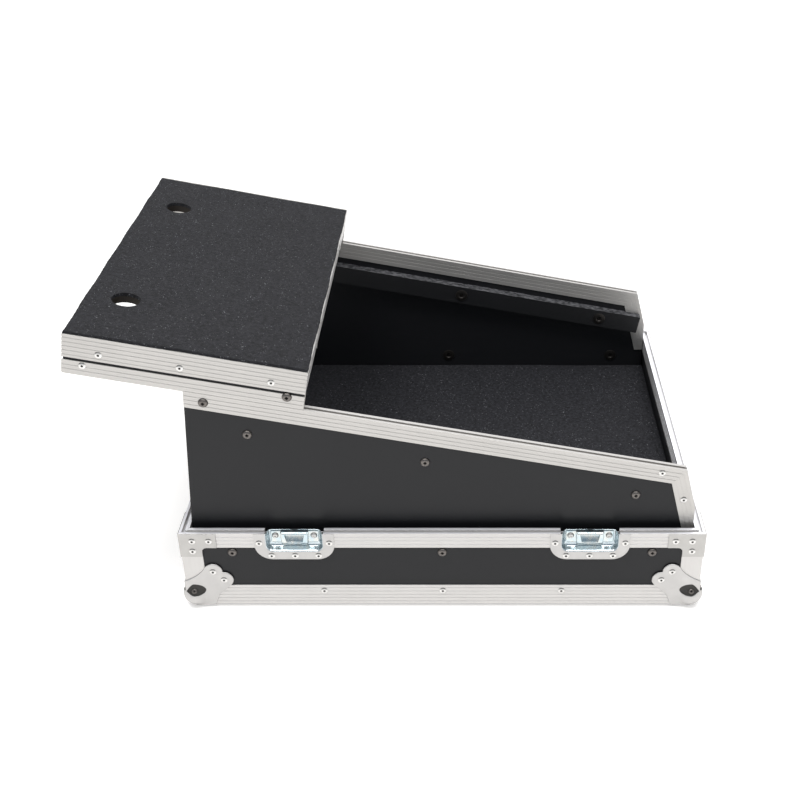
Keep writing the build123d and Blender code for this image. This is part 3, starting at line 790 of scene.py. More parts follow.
def along(points: Iterable[tuple[float, ...]], count: int) -> Array:
    """Points at even distances along a bent line.

    Args:
        points: ends and bends of the line.
        count: how many points to make.

    Returns:
        The points in order.
    """
    given = np.array(list(points), float)
    reach = np.concatenate([[0.0], np.cumsum(np.linalg.norm(np.diff(given, axis=0), axis=1))])
    at = np.linspace(0, reach[-1], count)
    return np.stack([np.interp(at, reach, given[:, i]) for i in range(given.shape[1])], -1)


class Maker:
    """Turns arrays into finished pieces that ride on a body of the case."""

    def piece(
        self,
        name: str,
        points: Array,
        faces: Array,
        finish: bpy.types.Material,
        slot: str,
        body: str,
        paint: dict[str, Array] | None = None,
        replaced: Iterable[str] = (),
        smooth: float = 40.0,
    ) -> bpy.types.Object:
        """Make one piece.

        Args:
            name: name of the piece.
            points: places in millimetres.
            faces: quads; a corner named twice makes a triangle.
            finish: its material.
            slot: the record's material slot; not used.
            body: the body that it rides on.
            paint: numbers stored at the points, by name.
            replaced: nodes that it stands for.
            smooth: edges sharper than this many degrees stay sharp.

        Returns:
            The object, at the origin, with its place in its mesh.
        """
        mesh = bpy.data.meshes.new(name)
        mesh.from_pydata((points * MM).tolist(), [], faces.tolist())
        for key, numbers in (paint or {}).items():
            mesh.attributes.new(key, "FLOAT", "POINT").data.foreach_set(
                "value", np.ascontiguousarray(numbers, np.float32)
            )
        build = bmesh.new()
        build.from_mesh(mesh)
        bmesh.ops.remove_doubles(build, verts=build.verts, dist=1e-7)
        bmesh.ops.dissolve_degenerate(build, edges=build.edges, dist=1e-8)
        bmesh.ops.recalc_face_normals(build, faces=build.faces)
        build.to_mesh(mesh)
        build.free()
        mesh.materials.append(finish)
        made = bpy.data.objects.new(name, mesh)
        bpy.context.scene.collection.objects.link(made)
        mesh.shade_smooth()
        mesh.set_sharp_from_angle(angle=np.radians(smooth))
        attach(made, body)
        if replaced:
            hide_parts(*replaced)
        LOG.info("piece %s: %d faces on %s", name, len(mesh.polygons), body)
        return made

    def wall(self, piece: bpy.types.Object, thick: float) -> None:
        """Give an open surface a wall behind it.

        Args:
            piece: the piece.
            thick: thickness of the wall in millimetres.
        """
        solid = piece.modifiers.new("wall", "SOLIDIFY")
        solid.thickness = thick * MM
        solid.offset = -1.0

    def round_edges(self, piece: bpy.types.Object, width: float, angle: float) -> None:
        """Round a piece's sharp edges.

        Args:
            piece: the piece.
            width: width of the rounding in millimetres.
            angle: edges that turn by more degrees than this are rounded.
        """
        bevel = piece.modifiers.new("round_edges", "BEVEL")
        bevel.width = width * MM
        bevel.segments = 2
        bevel.limit_method = "ANGLE"
        bevel.angle_limit = np.radians(angle)
        bevel.use_clamp_overlap = True

    def ease_node(self, node: bpy.types.Object, width: float) -> None:
        """Ease the sharp edges of a node of the model.

        Args:
            node: the node, whose loose triangles are joined first.
            width: width of the rounding in millimetres.
        """
        weld = node.modifiers.new("weld", "WELD")
        weld.merge_threshold = 1e-6
        flat = node.modifiers.new("flat_faces", "DECIMATE")
        flat.decimate_type = "DISSOLVE"
        flat.angle_limit = np.radians(0.5)
        self.round_edges(node, width, 40.0)

    def dress(self, nodes: Iterable[str], finish: bpy.types.Material, eased: float) -> None:
        """Give nodes of the model a finish and ease their edges.

        Args:
            nodes: their names.
            finish: the material.
            eased: width of the eased edges in millimetres.
        """
        for node in nodes:
            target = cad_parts[node]
            target.data.materials.clear()
            target.data.materials.append(finish)
            self.ease_node(target, eased)
            LOG.info("node %s: %s", node, finish.name)


# The case's own frames


MIRRORED = (
    ("front_left", 1, -1),
    ("front_right", 1, 1),
    ("rear_left", -1, -1),
    ("rear_right", -1, 1),
)


@dataclass(frozen=True)
class CaseFrame:
    """Outline sizes of the case and the sloping frame of its rail top."""

    half_length: float = 328.5
    half_width: float = 272.5
    skin: float = 1.5
    rim_top: float = 111.0
    side_out: float = 251.5
    tray_half: float = 253.0
    rack_clear: float = 485.0
    batten_thick: float = 15.0
    slope_start: Triple = (-302.0, 0.0, 305.6)
    nose: Triple = (300.9, 0.0, 192.4)
    tray_rear: float = -140.1
    tray_front: float = 141.9

    def on_slope(self, run: Any, across: Any, rise: Any) -> Array:
        """Places in the frame of the rail top: start + run times down + rise times up.

        Args:
            run: distance down the slope.
            across: distance to the right.
            rise: distance square to the rail top.

        Returns:
            A place for each, in the case's own axes.
        """
        run, across, rise = np.broadcast_arrays(
            np.asarray(run, float), np.asarray(across, float), np.asarray(rise, float)
        )
        return (
            np.array(self.slope_start)
            + run[..., None] * np.array(SLOPE_DIR)
            + across[..., None] * np.array(Run.WIDTH.value)
            + rise[..., None] * np.array(SLOPE_UP)
        )

    def slope_height(self, x: float, drop: float) -> float:
        """Height at x of the line that lies a drop below the rail top."""
        start_x, _, start_z = self.slope_start
        return start_z - (x - start_x) * -SLOPE_DIR[2] / SLOPE_DIR[0] - drop / SLOPE_DIR[0]


CASE = CaseFrame()


@dataclass
class PhotoCamera:
    """The camera, at the photograph's viewing angle."""

    place: Triple = (0.0348, -1.4178, 0.995)
    tilt: float = 58.94
    lens: float = 52.0
    sensor: float = 36.0
    shift: float = -0.0875
    near: float = 0.05

    def build(self) -> bpy.types.Object:
        """Make the camera and make it the scene's own.

        Returns:
            The camera.
        """
        data = bpy.data.cameras.new("photo_camera")
        data.lens = self.lens
        data.sensor_width = self.sensor
        data.shift_x = self.shift
        data.clip_start = self.near
        camera = bpy.data.objects.new("photo_camera", data)
        camera.location = self.place
        camera.rotation_euler = (np.radians(self.tilt), 0.0, 0.0)
        bpy.context.scene.collection.objects.link(camera)
        bpy.context.scene.camera = camera
        return camera


@dataclass
class Studio:
    """White studio: a pale floor, an even white surround and two soft boxes overhead."""

    floor_height: float = -6.7
    floor_half: float = 40000.0
    surround: float = 0.8
    even_tone: Triple = (0.97, 0.985, 1.0)
    lens_side: float = 0.5
    lens_tone: Triple = (0.72, 0.86, 1.0)
    far_side: float = 2.1
    far_tone: Triple = (0.985, 0.985, 1.0)
    box_side: float = 0.7
    box_forward: float = -0.5
    box_height: float = 2.2
    box_aim: Triple = (0.0, 0.0, 0.1)
    box_size: tuple[float, float] = (0.8, 1.1)
    box_power: float = 30.0

    def build(self) -> None:
        """Make the floor, the surround and the lights."""
        scene = bpy.context.scene
        scene.view_settings.view_transform = "Standard"
        scene.world = self.sky()
        corners = np.array([(-1, -1, 0), (1, -1, 0), (1, 1, 0), (-1, 1, 0)]) * self.floor_half
        mesh = bpy.data.meshes.new("studio_floor")
        mesh.from_pydata(((corners + [0, 0, self.floor_height]) * MM).tolist(), [], [(0, 1, 2, 3)])
        mesh.materials.append(PaperSweep().build())
        floor = bpy.data.objects.new("studio_floor", mesh)
        scene.collection.objects.link(floor)
        self.box("box_left", (-self.box_side, self.box_forward, self.box_height))
        self.box("box_right", (self.box_side, self.box_forward, self.box_height))

    def sky(self) -> bpy.types.World:
        """Make a white surround, brighter beyond the case and dim on the lens side.

        The dim part reaches from a low band to half way up.

        Returns:
            The surround.
        """
        world = bpy.data.worlds.new("studio")
        w = Wiring.of(world)
        heading = w.node("ShaderNodeTexCoord", output="Generated")
        ahead = w.dot(heading, (0.0, -1.0, 0.0)).step(0.35, 0.8)
        rise = w.dot(heading, Run.UPRIGHT.value)
        between = rise.step(0.1, 0.3) * (1 - rise.step(0.6, 0.85))
        beyond = w.dot(heading, Run.WIDTH.value).step(0.35, 0.75)
        dim = ahead * between
        glow = w.blend(beyond, self.even_tone, scaled(self.far_tone, self.far_side))
        colour = w.blend(dim, glow, scaled(self.lens_tone, self.lens_side))
        light = w.node("ShaderNodeBackground", None, {"Color": colour, "Strength": self.surround})
        w.node("ShaderNodeOutputWorld", None, {"Surface": light})
        return world

    def box(self, name: str, place: Triple) -> None:
        """Make one soft box that faces the case.

        Args:
            name: its name.
            place: where it hangs, in metres.
        """
        data = bpy.data.lights.new(name, "AREA")
        data.shape = "RECTANGLE"
        data.size, data.size_y = self.box_size
        data.energy = self.box_power
        light = bpy.data.objects.new(name, data)
        light.location = place
        x, y, z = np.array(self.box_aim) - np.array(place)
        light.rotation_euler = (np.arctan2(np.hypot(x, y), -z), 0.0, np.arctan2(x, -y))
        bpy.context.scene.collection.objects.link(light)


# Pieces of the case


@dataclass
class Boards:
    """Dressing of the boards of base, rack and tray."""

    eased: float = 0.4
    batten_eased: float = 0.8
    # Strength of the painted highlight on the battens' tops.
    batten_top_highlight: float = 0.8

    def dress(self, maker: Maker) -> None:
        """Give every board its finish, laminated ones first, each with its own thin direction.

        Args:
            maker: dresses the nodes.
        """
        for label, thin, nodes in (
            ("laminate_floor", Run.UPRIGHT, ["base_floor"]),
            ("laminate_side_wall", Run.WIDTH, ["base_wall_left", "base_wall_right"]),
            ("laminate_end_wall", Run.LENGTH, ["base_wall_front", "base_wall_rear"]),
            ("laminate_rack_side", Run.WIDTH, ["rack_side_left", "rack_side_right"]),
            ("laminate_tray", Run.RISE, ["tray_board"]),
        ):
            maker.dress(nodes, Laminate(label, thin).build(), self.eased)
        for label, grain, nodes in (
            ("stained_packing", Run.LENGTH, ["packing_boards"]),
            ("stained_tray_side", Run.SLOPE, ["tray_side_left", "tray_side_right"]),
            ("stained_apron", Run.WIDTH, ["tray_aprons"]),
        ):
            maker.dress(nodes, StainedWood(label, grain).build(), self.eased)
        batten = StainedWood("stained_batten", Run.SLOPE, painted_top_highlight=self.batten_top_highlight).build()
        maker.dress(["rack_batten_left", "rack_batten_right"], batten, self.batten_eased)


@dataclass
class Edging:
    """Dressing of the aluminium extrusions and of the folded corner brackets."""

    eased: float = 0.22
    upright_eased: float = 0.6
    bracket_eased: float = 0.35
    # Strength of the painted highlight on the rims' tops.
    rim_top_highlight: float = 0.85
    # Lit and shaded copies of one finish: pale is painted light for the bottom angles, dull is
    # painted shade for the sloping rails and posts, bracket for the zinc brackets.
    pale: Triple = (0.59, 0.575, 0.56)
    dull: Triple = (0.49, 0.475, 0.455)
    bracket: Triple = (0.45, 0.44, 0.425)

    def dress(self, maker: Maker) -> None:
        """Give every extrusion its finish, with the lines along its own run.

        Args:
            maker: dresses the nodes.
        """
        # The rims carry a painted highlight on their tops.
        rubbed = self.rim_top_highlight
        foot_along = Extrusion("extrusion_foot_along", Run.LENGTH, self.pale)
        foot_across = Extrusion("extrusion_foot_across", Run.WIDTH, self.pale)
        rim_along = Extrusion("extrusion_rim_along", Run.LENGTH, painted_top_highlight=rubbed)
        rim_across = Extrusion("extrusion_rim_across", Run.WIDTH, painted_top_highlight=rubbed)
        slope = Extrusion("extrusion_slope", Run.SLOPE, self.dull)
        post = Extrusion("extrusion_post", Run.POST, self.dull)
        upright = Extrusion("extrusion_upright", Run.UPRIGHT)
        across = Extrusion("extrusion_across", Run.WIDTH)
        sides = ("rack_rail", "tray_trim", "tray_rail")
        for finish, eased, nodes in (
            (foot_along, self.eased, ["bottom_angle_left", "bottom_angle_right"]),
            (foot_across, self.eased, ["bottom_angle_front", "bottom_angle_rear"]),
            (rim_along, self.eased, ["rim_left", "rim_right"]),
            (rim_across, self.eased, ["rim_front", "rim_rear"]),
            (slope, self.eased, [f"{part}_{side}" for part in sides for side in ("left", "right")]),
            (post, self.eased, ["front_post_left", "front_post_right"]),
            (across, self.eased, ["tray_trim_front", "tray_trim_rear"]),
            (upright, self.upright_eased, ["corner_angles"]),
        ):
            maker.dress(nodes, finish.build(), eased)
        brackets = [f"corner_bracket_{corner}" for corner, _, _ in MIRRORED]
        maker.dress(brackets, PressedZinc("zinc_bracket", self.bracket).build(), self.bracket_eased)


@dataclass
class Slides:
    """Dressing of the plastic glide shoes and stop blocks."""

    eased: float = 0.5

    def dress(self, maker: Maker) -> None:
        """Give shoes and blocks their finish."""
        maker.dress(["glide_shoes", "stop_blocks"], SlipPlastic("slip_plastic").build(), self.eased)


@dataclass
class FoamPads:
    """The foam on the floor of the base and on the laptop tray."""

    floor_half_length: float = 317.7
    floor_half_width: float = 242.2
    floor_low: float = 9.0
    floor_top: float = 64.0
    floor_cell: float = 12.0
    # Lighter copy of the tray foam's colour: painted light for the floor pad deep in the base.
    floor_lit_tone: Triple = (0.0138, 0.0139, 0.0165)
    round_over: float = 2.5
    tray_low: float = 51.3
    tray_top: float = 54.8
    tray_step: float = 1.5
    tray_inset: float = 20.3
    tray_right: float = 245.0
    tray_cell: float = 3.5
    tray_round: float = 1.6
    port_run: float = -92.1
    port_across: tuple[float, float] = (-154.0, 144.0)
    port_radius: float = 17.5
    port_square: float = 14.0
    port_reach: float = 34.0
    ragged: float = 8.0

    def lines(self, low: float, high: float, fixed: Iterable[float], gap: float) -> Array:
        """Grid lines that pass through the fixed ones and crowd at both ends.

        Args:
            low: the first line.
            high: the last line.
            fixed: lines that must be among them.
            gap: the widest step elsewhere.

        Returns:
            The lines in order.
        """
        edge = self.round_over * np.array([0.0, 0.12, 0.3, 0.6, 1.0])
        stops = np.unique(np.round([low, low + edge[-1], *fixed, high - edge[-1], high], 6))
        inner = [
            np.linspace(a, b, max(2, int(np.ceil((b - a) / gap)) + 1))
            for a, b in zip(stops[1:-2], stops[2:-1])
        ]
        return np.unique(np.round(np.concatenate([low + edge, high - edge, *inner]), 6))

    def rolled(self, u: Array, v: Array, box: tuple[float, ...], radius: float) -> Array:
        """Drop of a top towards its border: a quarter circle over the last millimetres.

        Args:
            u: places one way.
            v: places the other way.
            box: low and high border of u, then of v.
            radius: radius of the edge.

        Returns:
            radius less the root of radius squared less (radius less distance to the border)
            squared.
        """
        near = np.minimum(np.minimum(u - box[0], box[1] - u), np.minimum(v - box[2], box[3] - v))
        t = np.clip(radius - near, 0, radius)
        return radius - np.sqrt(radius**2 - t**2)

    def floor_pad(self, maker: Maker, finish: bpy.types.Material) -> None:
        """Make the pad on the floor: a grid whose top swells a little and rolls over its edges.

        The swell is 0.35 (sin(u / 47) cos(v / 39) + 0.6 sin(u / 21 + v / 33)) - 0.6 mm.

        Args:
            maker: makes the piece.
            finish: its material.
        """
        x = self.lines(-self.floor_half_length, self.floor_half_length, [], self.floor_cell)
        y = self.lines(-self.floor_half_width, self.floor_half_width, [], self.floor_cell)
        u, v = np.meshgrid(x, y, indexing="ij")
        box = (x[0], x[-1], y[0], y[-1])
        swell = 0.35 * (np.sin(u / 47) * np.cos(v / 39) + 0.6 * np.sin(u / 21 + v / 33)) - 0.6
        top = self.floor_top + swell - self.rolled(u, v, box, self.round_over)
        upper = np.stack([u, v, top], -1).reshape(-1, 3)
        lower = np.stack([u, v, np.full_like(u, self.floor_low)], -1).reshape(-1, 3)
        points, faces = slab(upper, lower, grid_faces(len(x), len(y)))
        pad = maker.piece(
            "floor_foam_pad", points, faces, finish, "foam", "case", replaced=["floor_foam"]
        )

    def opened(self, u: Array, v: Array) -> tuple[Array, Array]:
        """Push the grid away from each port, so that a square of it becomes the port's circle.

        An offset whose larger part is c moves along itself to the circle's radius where c is the
        square's half side, and by less and less until c is the reach.

        Args:
            u: places along the slope.
            v: places across it.

        Returns:
            The moved places.
        """
        for across in self.port_across:
            du, dv = u - self.port_run, v - across
            c = np.maximum(np.maximum(np.abs(du), np.abs(dv)), 1e-6)
            e = np.maximum(np.hypot(du, dv), 1e-6)
            t = np.clip((c - self.port_square) / (self.port_reach - self.port_square), 0, 1)
            factor = (1 - t) * self.port_radius / e * (c / self.port_square) + t
            factor = np.where(c < self.port_reach, factor, 1.0)
            u, v = self.port_run + du * factor, across + dv * factor
        return u, v

    def cut_back(self, u0: Array, v0: Array) -> tuple[Array, Array]:
        """How far the knife strays at the tray pad's border.

        With s = u + v, the stray is 0.2 (sin 0.9 s + sin(0.37 s + 2 sin 0.11 s) - 2) plus
        0.5 (sin(0.06 s + 1) - 1) mm, always inwards, and fades out over the ragged width.

        Args:
            u0: grid lines along the slope.
            v0: grid lines across it.

        Returns:
            What to add to u and to v at each grid point.
        """
        u, v = np.meshgrid(u0, v0, indexing="ij")
        line = u + v
        cut = 0.4 * (np.sin(0.9 * line) + np.sin(0.37 * line + 2 * np.sin(0.11 * line)) - 2) / 2
        cut = cut + 0.5 * (np.sin(0.06 * line + 1.0) - 1)
        off_u, off_v = u - u0.mean(), v - v0.mean()
        edge_u = np.clip(1 - ((u0[-1] - u0[0]) / 2 - np.abs(off_u)) / self.ragged, 0, 1)
        edge_v = np.clip(1 - ((v0[-1] - v0[0]) / 2 - np.abs(off_v)) / self.ragged, 0, 1)
        return edge_u * cut * np.sign(off_u), edge_v * cut * np.sign(off_v)

    def port_quads(self, u: Array, v: Array) -> Array:
        """Which quads of the grid fill a port.

        Args:
            u: middle of each quad along the slope.
            v: middle of each quad across it.

        Returns:
            True for those that do.
        """
        square = self.port_square
        filled = np.zeros(len(u), bool)
        for across in self.port_across:
            filled |= (np.abs(u - self.port_run) < square) & (np.abs(v - across) < square)
        return filled

    def tray_pad(self, maker: Maker, finish: bpy.types.Material) -> None:
        """Make the tray's pad: over the edging, down into the step inside it, round both ports.

        The swell is 0.22 (sin(u / 31) cos(v / 27) + 0.5 sin(u / 13 - v / 19)) - 0.3 mm.

        Args:
            maker: makes the piece.
            finish: its material.
        """
        sides = np.array([-self.port_reach, -self.port_square, self.port_square, self.port_reach])
        ports = np.concatenate([across + sides for across in self.port_across])
        step_run = [CASE.tray_rear + self.tray_inset, CASE.tray_front - self.tray_inset]
        step_across = [-CASE.tray_half + self.tray_inset, CASE.tray_half - self.tray_inset]
        run = [*(self.port_run + sides), *step_run]
        u0 = self.lines(CASE.tray_rear, CASE.tray_front, run, self.tray_cell)
        v0 = self.lines(-CASE.tray_half, self.tray_right, [*ports, *step_across], self.tray_cell)
        grid_u, grid_v = np.meshgrid(u0, v0, indexing="ij")
        u, v = self.opened(grid_u, grid_v)
        swell = 0.22 * (np.sin(u / 31) * np.cos(v / 27) + 0.5 * np.sin(u / 13 - v / 19)) - 0.3
        near = self.rolled(grid_u, grid_v, (u0[0], u0[-1], v0[0], v0[-1]), self.tray_round)
        back_u, back_v = self.cut_back(u0, v0)
        inside = (grid_u > step_run[0]) & (grid_u < step_run[1])
        inside &= (grid_v > step_across[0]) & (grid_v < step_across[1])
        low = np.where(inside, self.tray_low - self.tray_step, self.tray_low)
        faces = grid_faces(len(u0), len(v0))
        filled = self.port_quads(*(grid.reshape(-1)[faces].mean(1) for grid in (grid_u, grid_v)))
        upper = CASE.on_slope(u + back_u, v + back_v, self.tray_top + swell - near).reshape(-1, 3)
        lower = CASE.on_slope(u + back_u, v + back_v, low).reshape(-1, 3)
        points, faces = slab(upper, lower, faces[~filled])
        used, faces = np.unique(faces, return_inverse=True)
        pad = maker.piece(
            "tray_foam_pad",
            points[used],
            faces.reshape(-1, 4),
            finish,
            "foam",
            "laptop_tray",
            replaced=["tray_foam"],
        )

    def build(self, maker: Maker) -> None:
        """Make both pads."""
        self.floor_pad(maker, CellFoam("cell_foam_floor", self.floor_lit_tone).build())
        self.tray_pad(maker, CellFoam("cell_foam_tray").build())


class Petal(Enum):
    """Petals of a corner: which of the plane's ways (0, 1) and the depth (2) is X, Y and Z."""

    SIDE = (0, 2, 1)
    END = (2, 0, 1)
    FLOOR = (0, 1, 2)


@dataclass
class BallCorner:
    """Stamped corner: a ball with a lobed petal on each side face and a plain one under the floor.

    Points are given inwards along X, inwards along Y and up from the case's lowest outer corner.
    """

    plate: float = 1.2
    wall: float = 1.05
    radius: float = 17.2
    inset: float = 10.0
    rise: float = 12.0
    petal_top: float = 37.3
    petal_foot: float = 35.4
    upper_lobe: Pair = (37.0, 52.5)
    lower_lobe: Pair = (49.8, 39.5)
    waist: Pair = (41.7, 15.2)
    neck: Pair = (26.12, 57.57)
    valley: Pair = (48.96, 51.47)
    hip: Pair = (58.29, 31.01)
    swell: Pair = (15.5, 46.5)
    foot_bulge: float = 28.3
    fillet: float = 4.0
    edge_round: float = 1.2
    edge_turns: tuple[float, ...] = (30.0, 55.0, 75.0, 90.0)
    eye_half: Pair = (12.2, 6.7)
    eye_point: float = 10.0
    eye_tilt: float = 38.0
    eye_depth: float = 1.5
    eye_wall: tuple[Pair, ...] = (
        (0.0, 1.0), (0.35, 1.0), (0.65, 1.0), (0.9, 1.0), (0.95, 0.97),
        (0.975, 0.85), (0.99, 0.6), (1.0, 0.3), (1.012, 0.08), (1.03, 0.0),
    )

    def arc(self, centre: Pair, start: Pair, end: Pair, count: int) -> Array:
        """Points on a circle, turning clockwise.

        Args:
            centre: middle of the circle.
            start: the first point.
            end: a point in the direction of the last one.
            count: how many points to make.

        Returns:
            The points in order.
        """
        a = np.arctan2(start[1] - centre[1], start[0] - centre[0])
        b = np.arctan2(end[1] - centre[1], end[0] - centre[0])
        b = b - 2 * np.pi if b > a else b
        angle = np.linspace(a, b, count)
        radius = np.hypot(start[0] - centre[0], start[1] - centre[1])
        x, y = radius * np.cos(angle), radius * np.sin(angle)
        return np.stack([centre[0] + x, centre[1] + y], -1)

    def through(self, start: Pair, middle: Pair, end: Pair, count: int) -> Array:
        """Points on a smooth bow: the parabola that runs through three points.

        Args:
            start: the first point.
            middle: the point half way.
            end: the last point.
            count: how many points to make.

        Returns:
            The points in order.
        """
        t = np.linspace(0, 1, count)[:, None]
        a, m, b = (np.array(p, float) for p in (start, middle, end))
        control = 2 * m - (a + b) / 2
        return (1 - t) ** 2 * a + 2 * t * (1 - t) * control + t**2 * b

    def bordered(self, fold: list[Array], free: list[Array]) -> tuple[Array, Array]:
        """Join runs of points into the closed border of a petal.

        Args:
            fold: runs on the folds to the other petals, in order round the petal.
            free: the runs of its free edge; each run ends where the next one starts.

        Returns:
            Border points, and 1 where the border is a free edge, 0 on a fold.
        """
        border = np.concatenate([run[:-1] for run in (*fold, *free)])
        folded = sum(len(run) - 1 for run in fold)
        return border, (np.arange(len(border)) > folded).astype(float)

    def side_outline(self) -> tuple[Array, Array]:
        """Border of a side petal, inwards and up from the lowest outer corner.

        Returns:
            Border points and where they are free, as bordered gives them.
        """
        low = -self.plate
        top, foot = (low, self.petal_top), (self.petal_foot, low)
        return self.bordered(
            [along([top, (low, low)], 34), along([(low, low), foot], 30)],
            [
                along([foot, self.waist, self.hip], 26),
                self.arc(self.lower_lobe, self.valley, self.hip, 24)[::-1],
                self.arc(self.upper_lobe, self.neck, self.valley, 24)[::-1],
                self.through(self.neck, self.swell, top, 24),
            ],
        )

    def floor_outline(self) -> tuple[Array, Array]:
        """Border of the petal under the floor, inwards both ways.

        Returns:
            Border points and where they are free, as bordered gives them.
        """
        low = -self.plate
        one, other = (low, self.petal_foot), (self.petal_foot, low)
        bulge = (self.foot_bulge, self.foot_bulge)
        return self.bordered(
            [along([one, (low, low)], 30), along([(low, low), other], 30)],
            [self.through(other, bulge, one, 40)],
        )

    def almond(self, angle: Array) -> Array:
        """Outline of the eye in the petal's own plane.

        On the ball it is u = a cos p, v = b f(|cos p|), with f an ellipse on the side away from
        the fold and 1 - t to the power 1.7 on the side of its point. It is thrown from the ball's
        centre onto the plane of the petal, which lies inset plus plate outside that centre.

        Args:
            angle: directions from the eye's middle.

        Returns:
            Distance from the middle to the outline in each direction.
        """
        wide, high = self.eye_half
        turn = np.linspace(0, 2 * np.pi, 721)[:-1]
        u = np.cos(turn) * np.where(np.cos(turn) > 0, wide, self.eye_point)
        t = np.abs(np.cos(turn))
        bow = np.where(u > 0, np.sqrt(np.maximum(1 - t**2, 0)), 1 - t**1.7)
        v = high * np.sign(np.sin(turn)) * bow
        out = np.sqrt(self.radius**2 - u**2 - v**2)
        c, s = np.cos(np.radians(self.eye_tilt)), np.sin(np.radians(self.eye_tilt))
        throw = (self.inset + self.plate) / (out * c - v * s)
        flat = np.stack([u * throw, (out * s + v * c) * throw - self.eye_lift()], -1)
        heading = np.arctan2(flat[:, 1], flat[:, 0])
        order = np.argsort(heading)
        length = np.hypot(flat[:, 0], flat[:, 1])
        return np.interp(angle, heading[order], length[order], period=2 * np.pi)

    def eye_lift(self) -> float:
        """Height of the eye's middle above the ball's centre, thrown onto the petal's plane."""
        return (self.inset + self.plate) * np.tan(np.radians(self.eye_tilt))

    def rings(self, border: Array, loose: Array, middle: Pair, eyed: bool) -> tuple[Array, ...]:
        """Rings from a middle point out to the border, the last ones rolled down a free edge.

        With an eye, the first rings fill it and climb its wall, and the others start at its rim. At
        each turn a of the edge a ring reaches edge_round sin a further and drops plate (1 - cos a).

        Args:
            border: points of the border, in order.
            loose: 1 where the border is free.
            middle: the middle point.
            eyed: whether an eye lies round it.

        Returns:
            Rings of places in the face, the drop of each at the border, how deep it lies in the
            eye, and 1 inside the eye, where the painted shade goes.
        """
        spoke = border - np.array(middle)
        length = np.linalg.norm(spoke, axis=1)
        unit = spoke / length[:, None]
        inner = length - self.edge_round
        if eyed:
            start = self.almond(np.arctan2(spoke[:, 1], spoke[:, 0]))
            cup, depth = (np.array(column)[:, None] for column in zip(*self.eye_wall))
        else:
            start = 0 * length
            cup = depth = np.zeros((1, 1))
        begin = start * cup[-1]
        share = (np.linspace(0, 1, 30 if eyed else 20) ** 1.25)[1:, None]
        turn = np.radians(self.edge_turns)[:, None]
        flat = np.concatenate([cup * start, begin + share * (inner - begin)])
        reach = np.concatenate([flat, inner + self.edge_round * np.sin(turn)])
        drop = np.concatenate([0 * flat, self.plate * (1 - np.cos(turn)) * loose])
        sunk = np.zeros_like(reach)
        sunk[: len(depth)] = depth
        inside = soft_step(sunk, 0.04, 0.3)
        return np.array(middle) + reach[..., None] * unit, drop, sunk, inside

    def swollen(self, points: Array, sunk: Array) -> Array:
        """Push points out to the ball, less what they are sunk in an eye.

        With d a point's distance from the ball's centre and h = 1 - |d - radius| / fillet, never
        below 0, the point moves along its own direction to the larger of d and radius, plus h
        squared times fillet / 4. Outside all three planes through the centre it moves to the
        radius.

        Args:
            points: points of the petals.
            sunk: share of the eye's depth at each.

        Returns:
            The moved points.
        """
        centre = np.array([self.inset, self.inset, self.rise])
        offset = points - centre
        distance = np.linalg.norm(offset, axis=-1)
        h = np.clip(1 - np.abs(distance - self.radius) / self.fillet, 0, 1)
        smooth = np.maximum(distance, self.radius) + h**2 * self.fillet / 4
        outer = soft_step(-offset.max(-1), -1.0, 2.5)
        reach = outer * self.radius + (1 - outer) * smooth - self.eye_depth * sunk
        return centre + offset * (reach / np.maximum(distance, 1e-6))[..., None]

    def shell(self) -> tuple[Array, Array, Array]:
        """Outer surface of one corner.

        Returns:
            Points, quads, and 1 inside the eyes, where the painted shade goes.
        """
        side, eye = self.side_outline(), (self.inset, self.rise + self.eye_lift())
        surfaces, eyes = [], []
        for petal, outline, middle in (
            (Petal.SIDE, side, eye),
            (Petal.END, side, eye),
            (Petal.FLOOR, self.floor_outline(), (self.inset, self.inset)),
        ):
            flat, drop, sunk, inside = self.rings(*outline, middle, petal is not Petal.FLOOR)
            local = np.concatenate([flat, (drop - self.plate)[..., None]], -1)
            points = self.swollen(local[..., list(petal.value)], sunk)
            surfaces.append((points.reshape(-1, 3), grid_faces(*flat.shape[:2], wrap=True)))
            eyes.append(inside.reshape(-1))
        return *joined(*surfaces), np.concatenate(eyes)

    def build(self, maker: Maker) -> None:
        """Make the four corners, each a mirror image of the first.

        Args:
            maker: makes the pieces.
        """
        finish = PressedZinc("zinc_ball_corner", eye_painted_shade=True).build()
        points, faces, eye = self.shell()
        along_x, along_y = CASE.half_length - points[:, 0], CASE.half_width - points[:, 1]
        for corner, sx, sy in MIRRORED:
            piece = maker.piece(
                f"stamped_ball_{corner}",
                np.stack([sx * along_x, sy * along_y, points[:, 2] - CASE.skin], -1),
                faces,
                finish,
                "zinc_plate",
                "case",
                # The eye mask carries the painted shade in the eyes.
                paint={"eye": eye},
                replaced=["ball_corners"],
                smooth=60.0,
            )
            maker.wall(piece, self.wall)


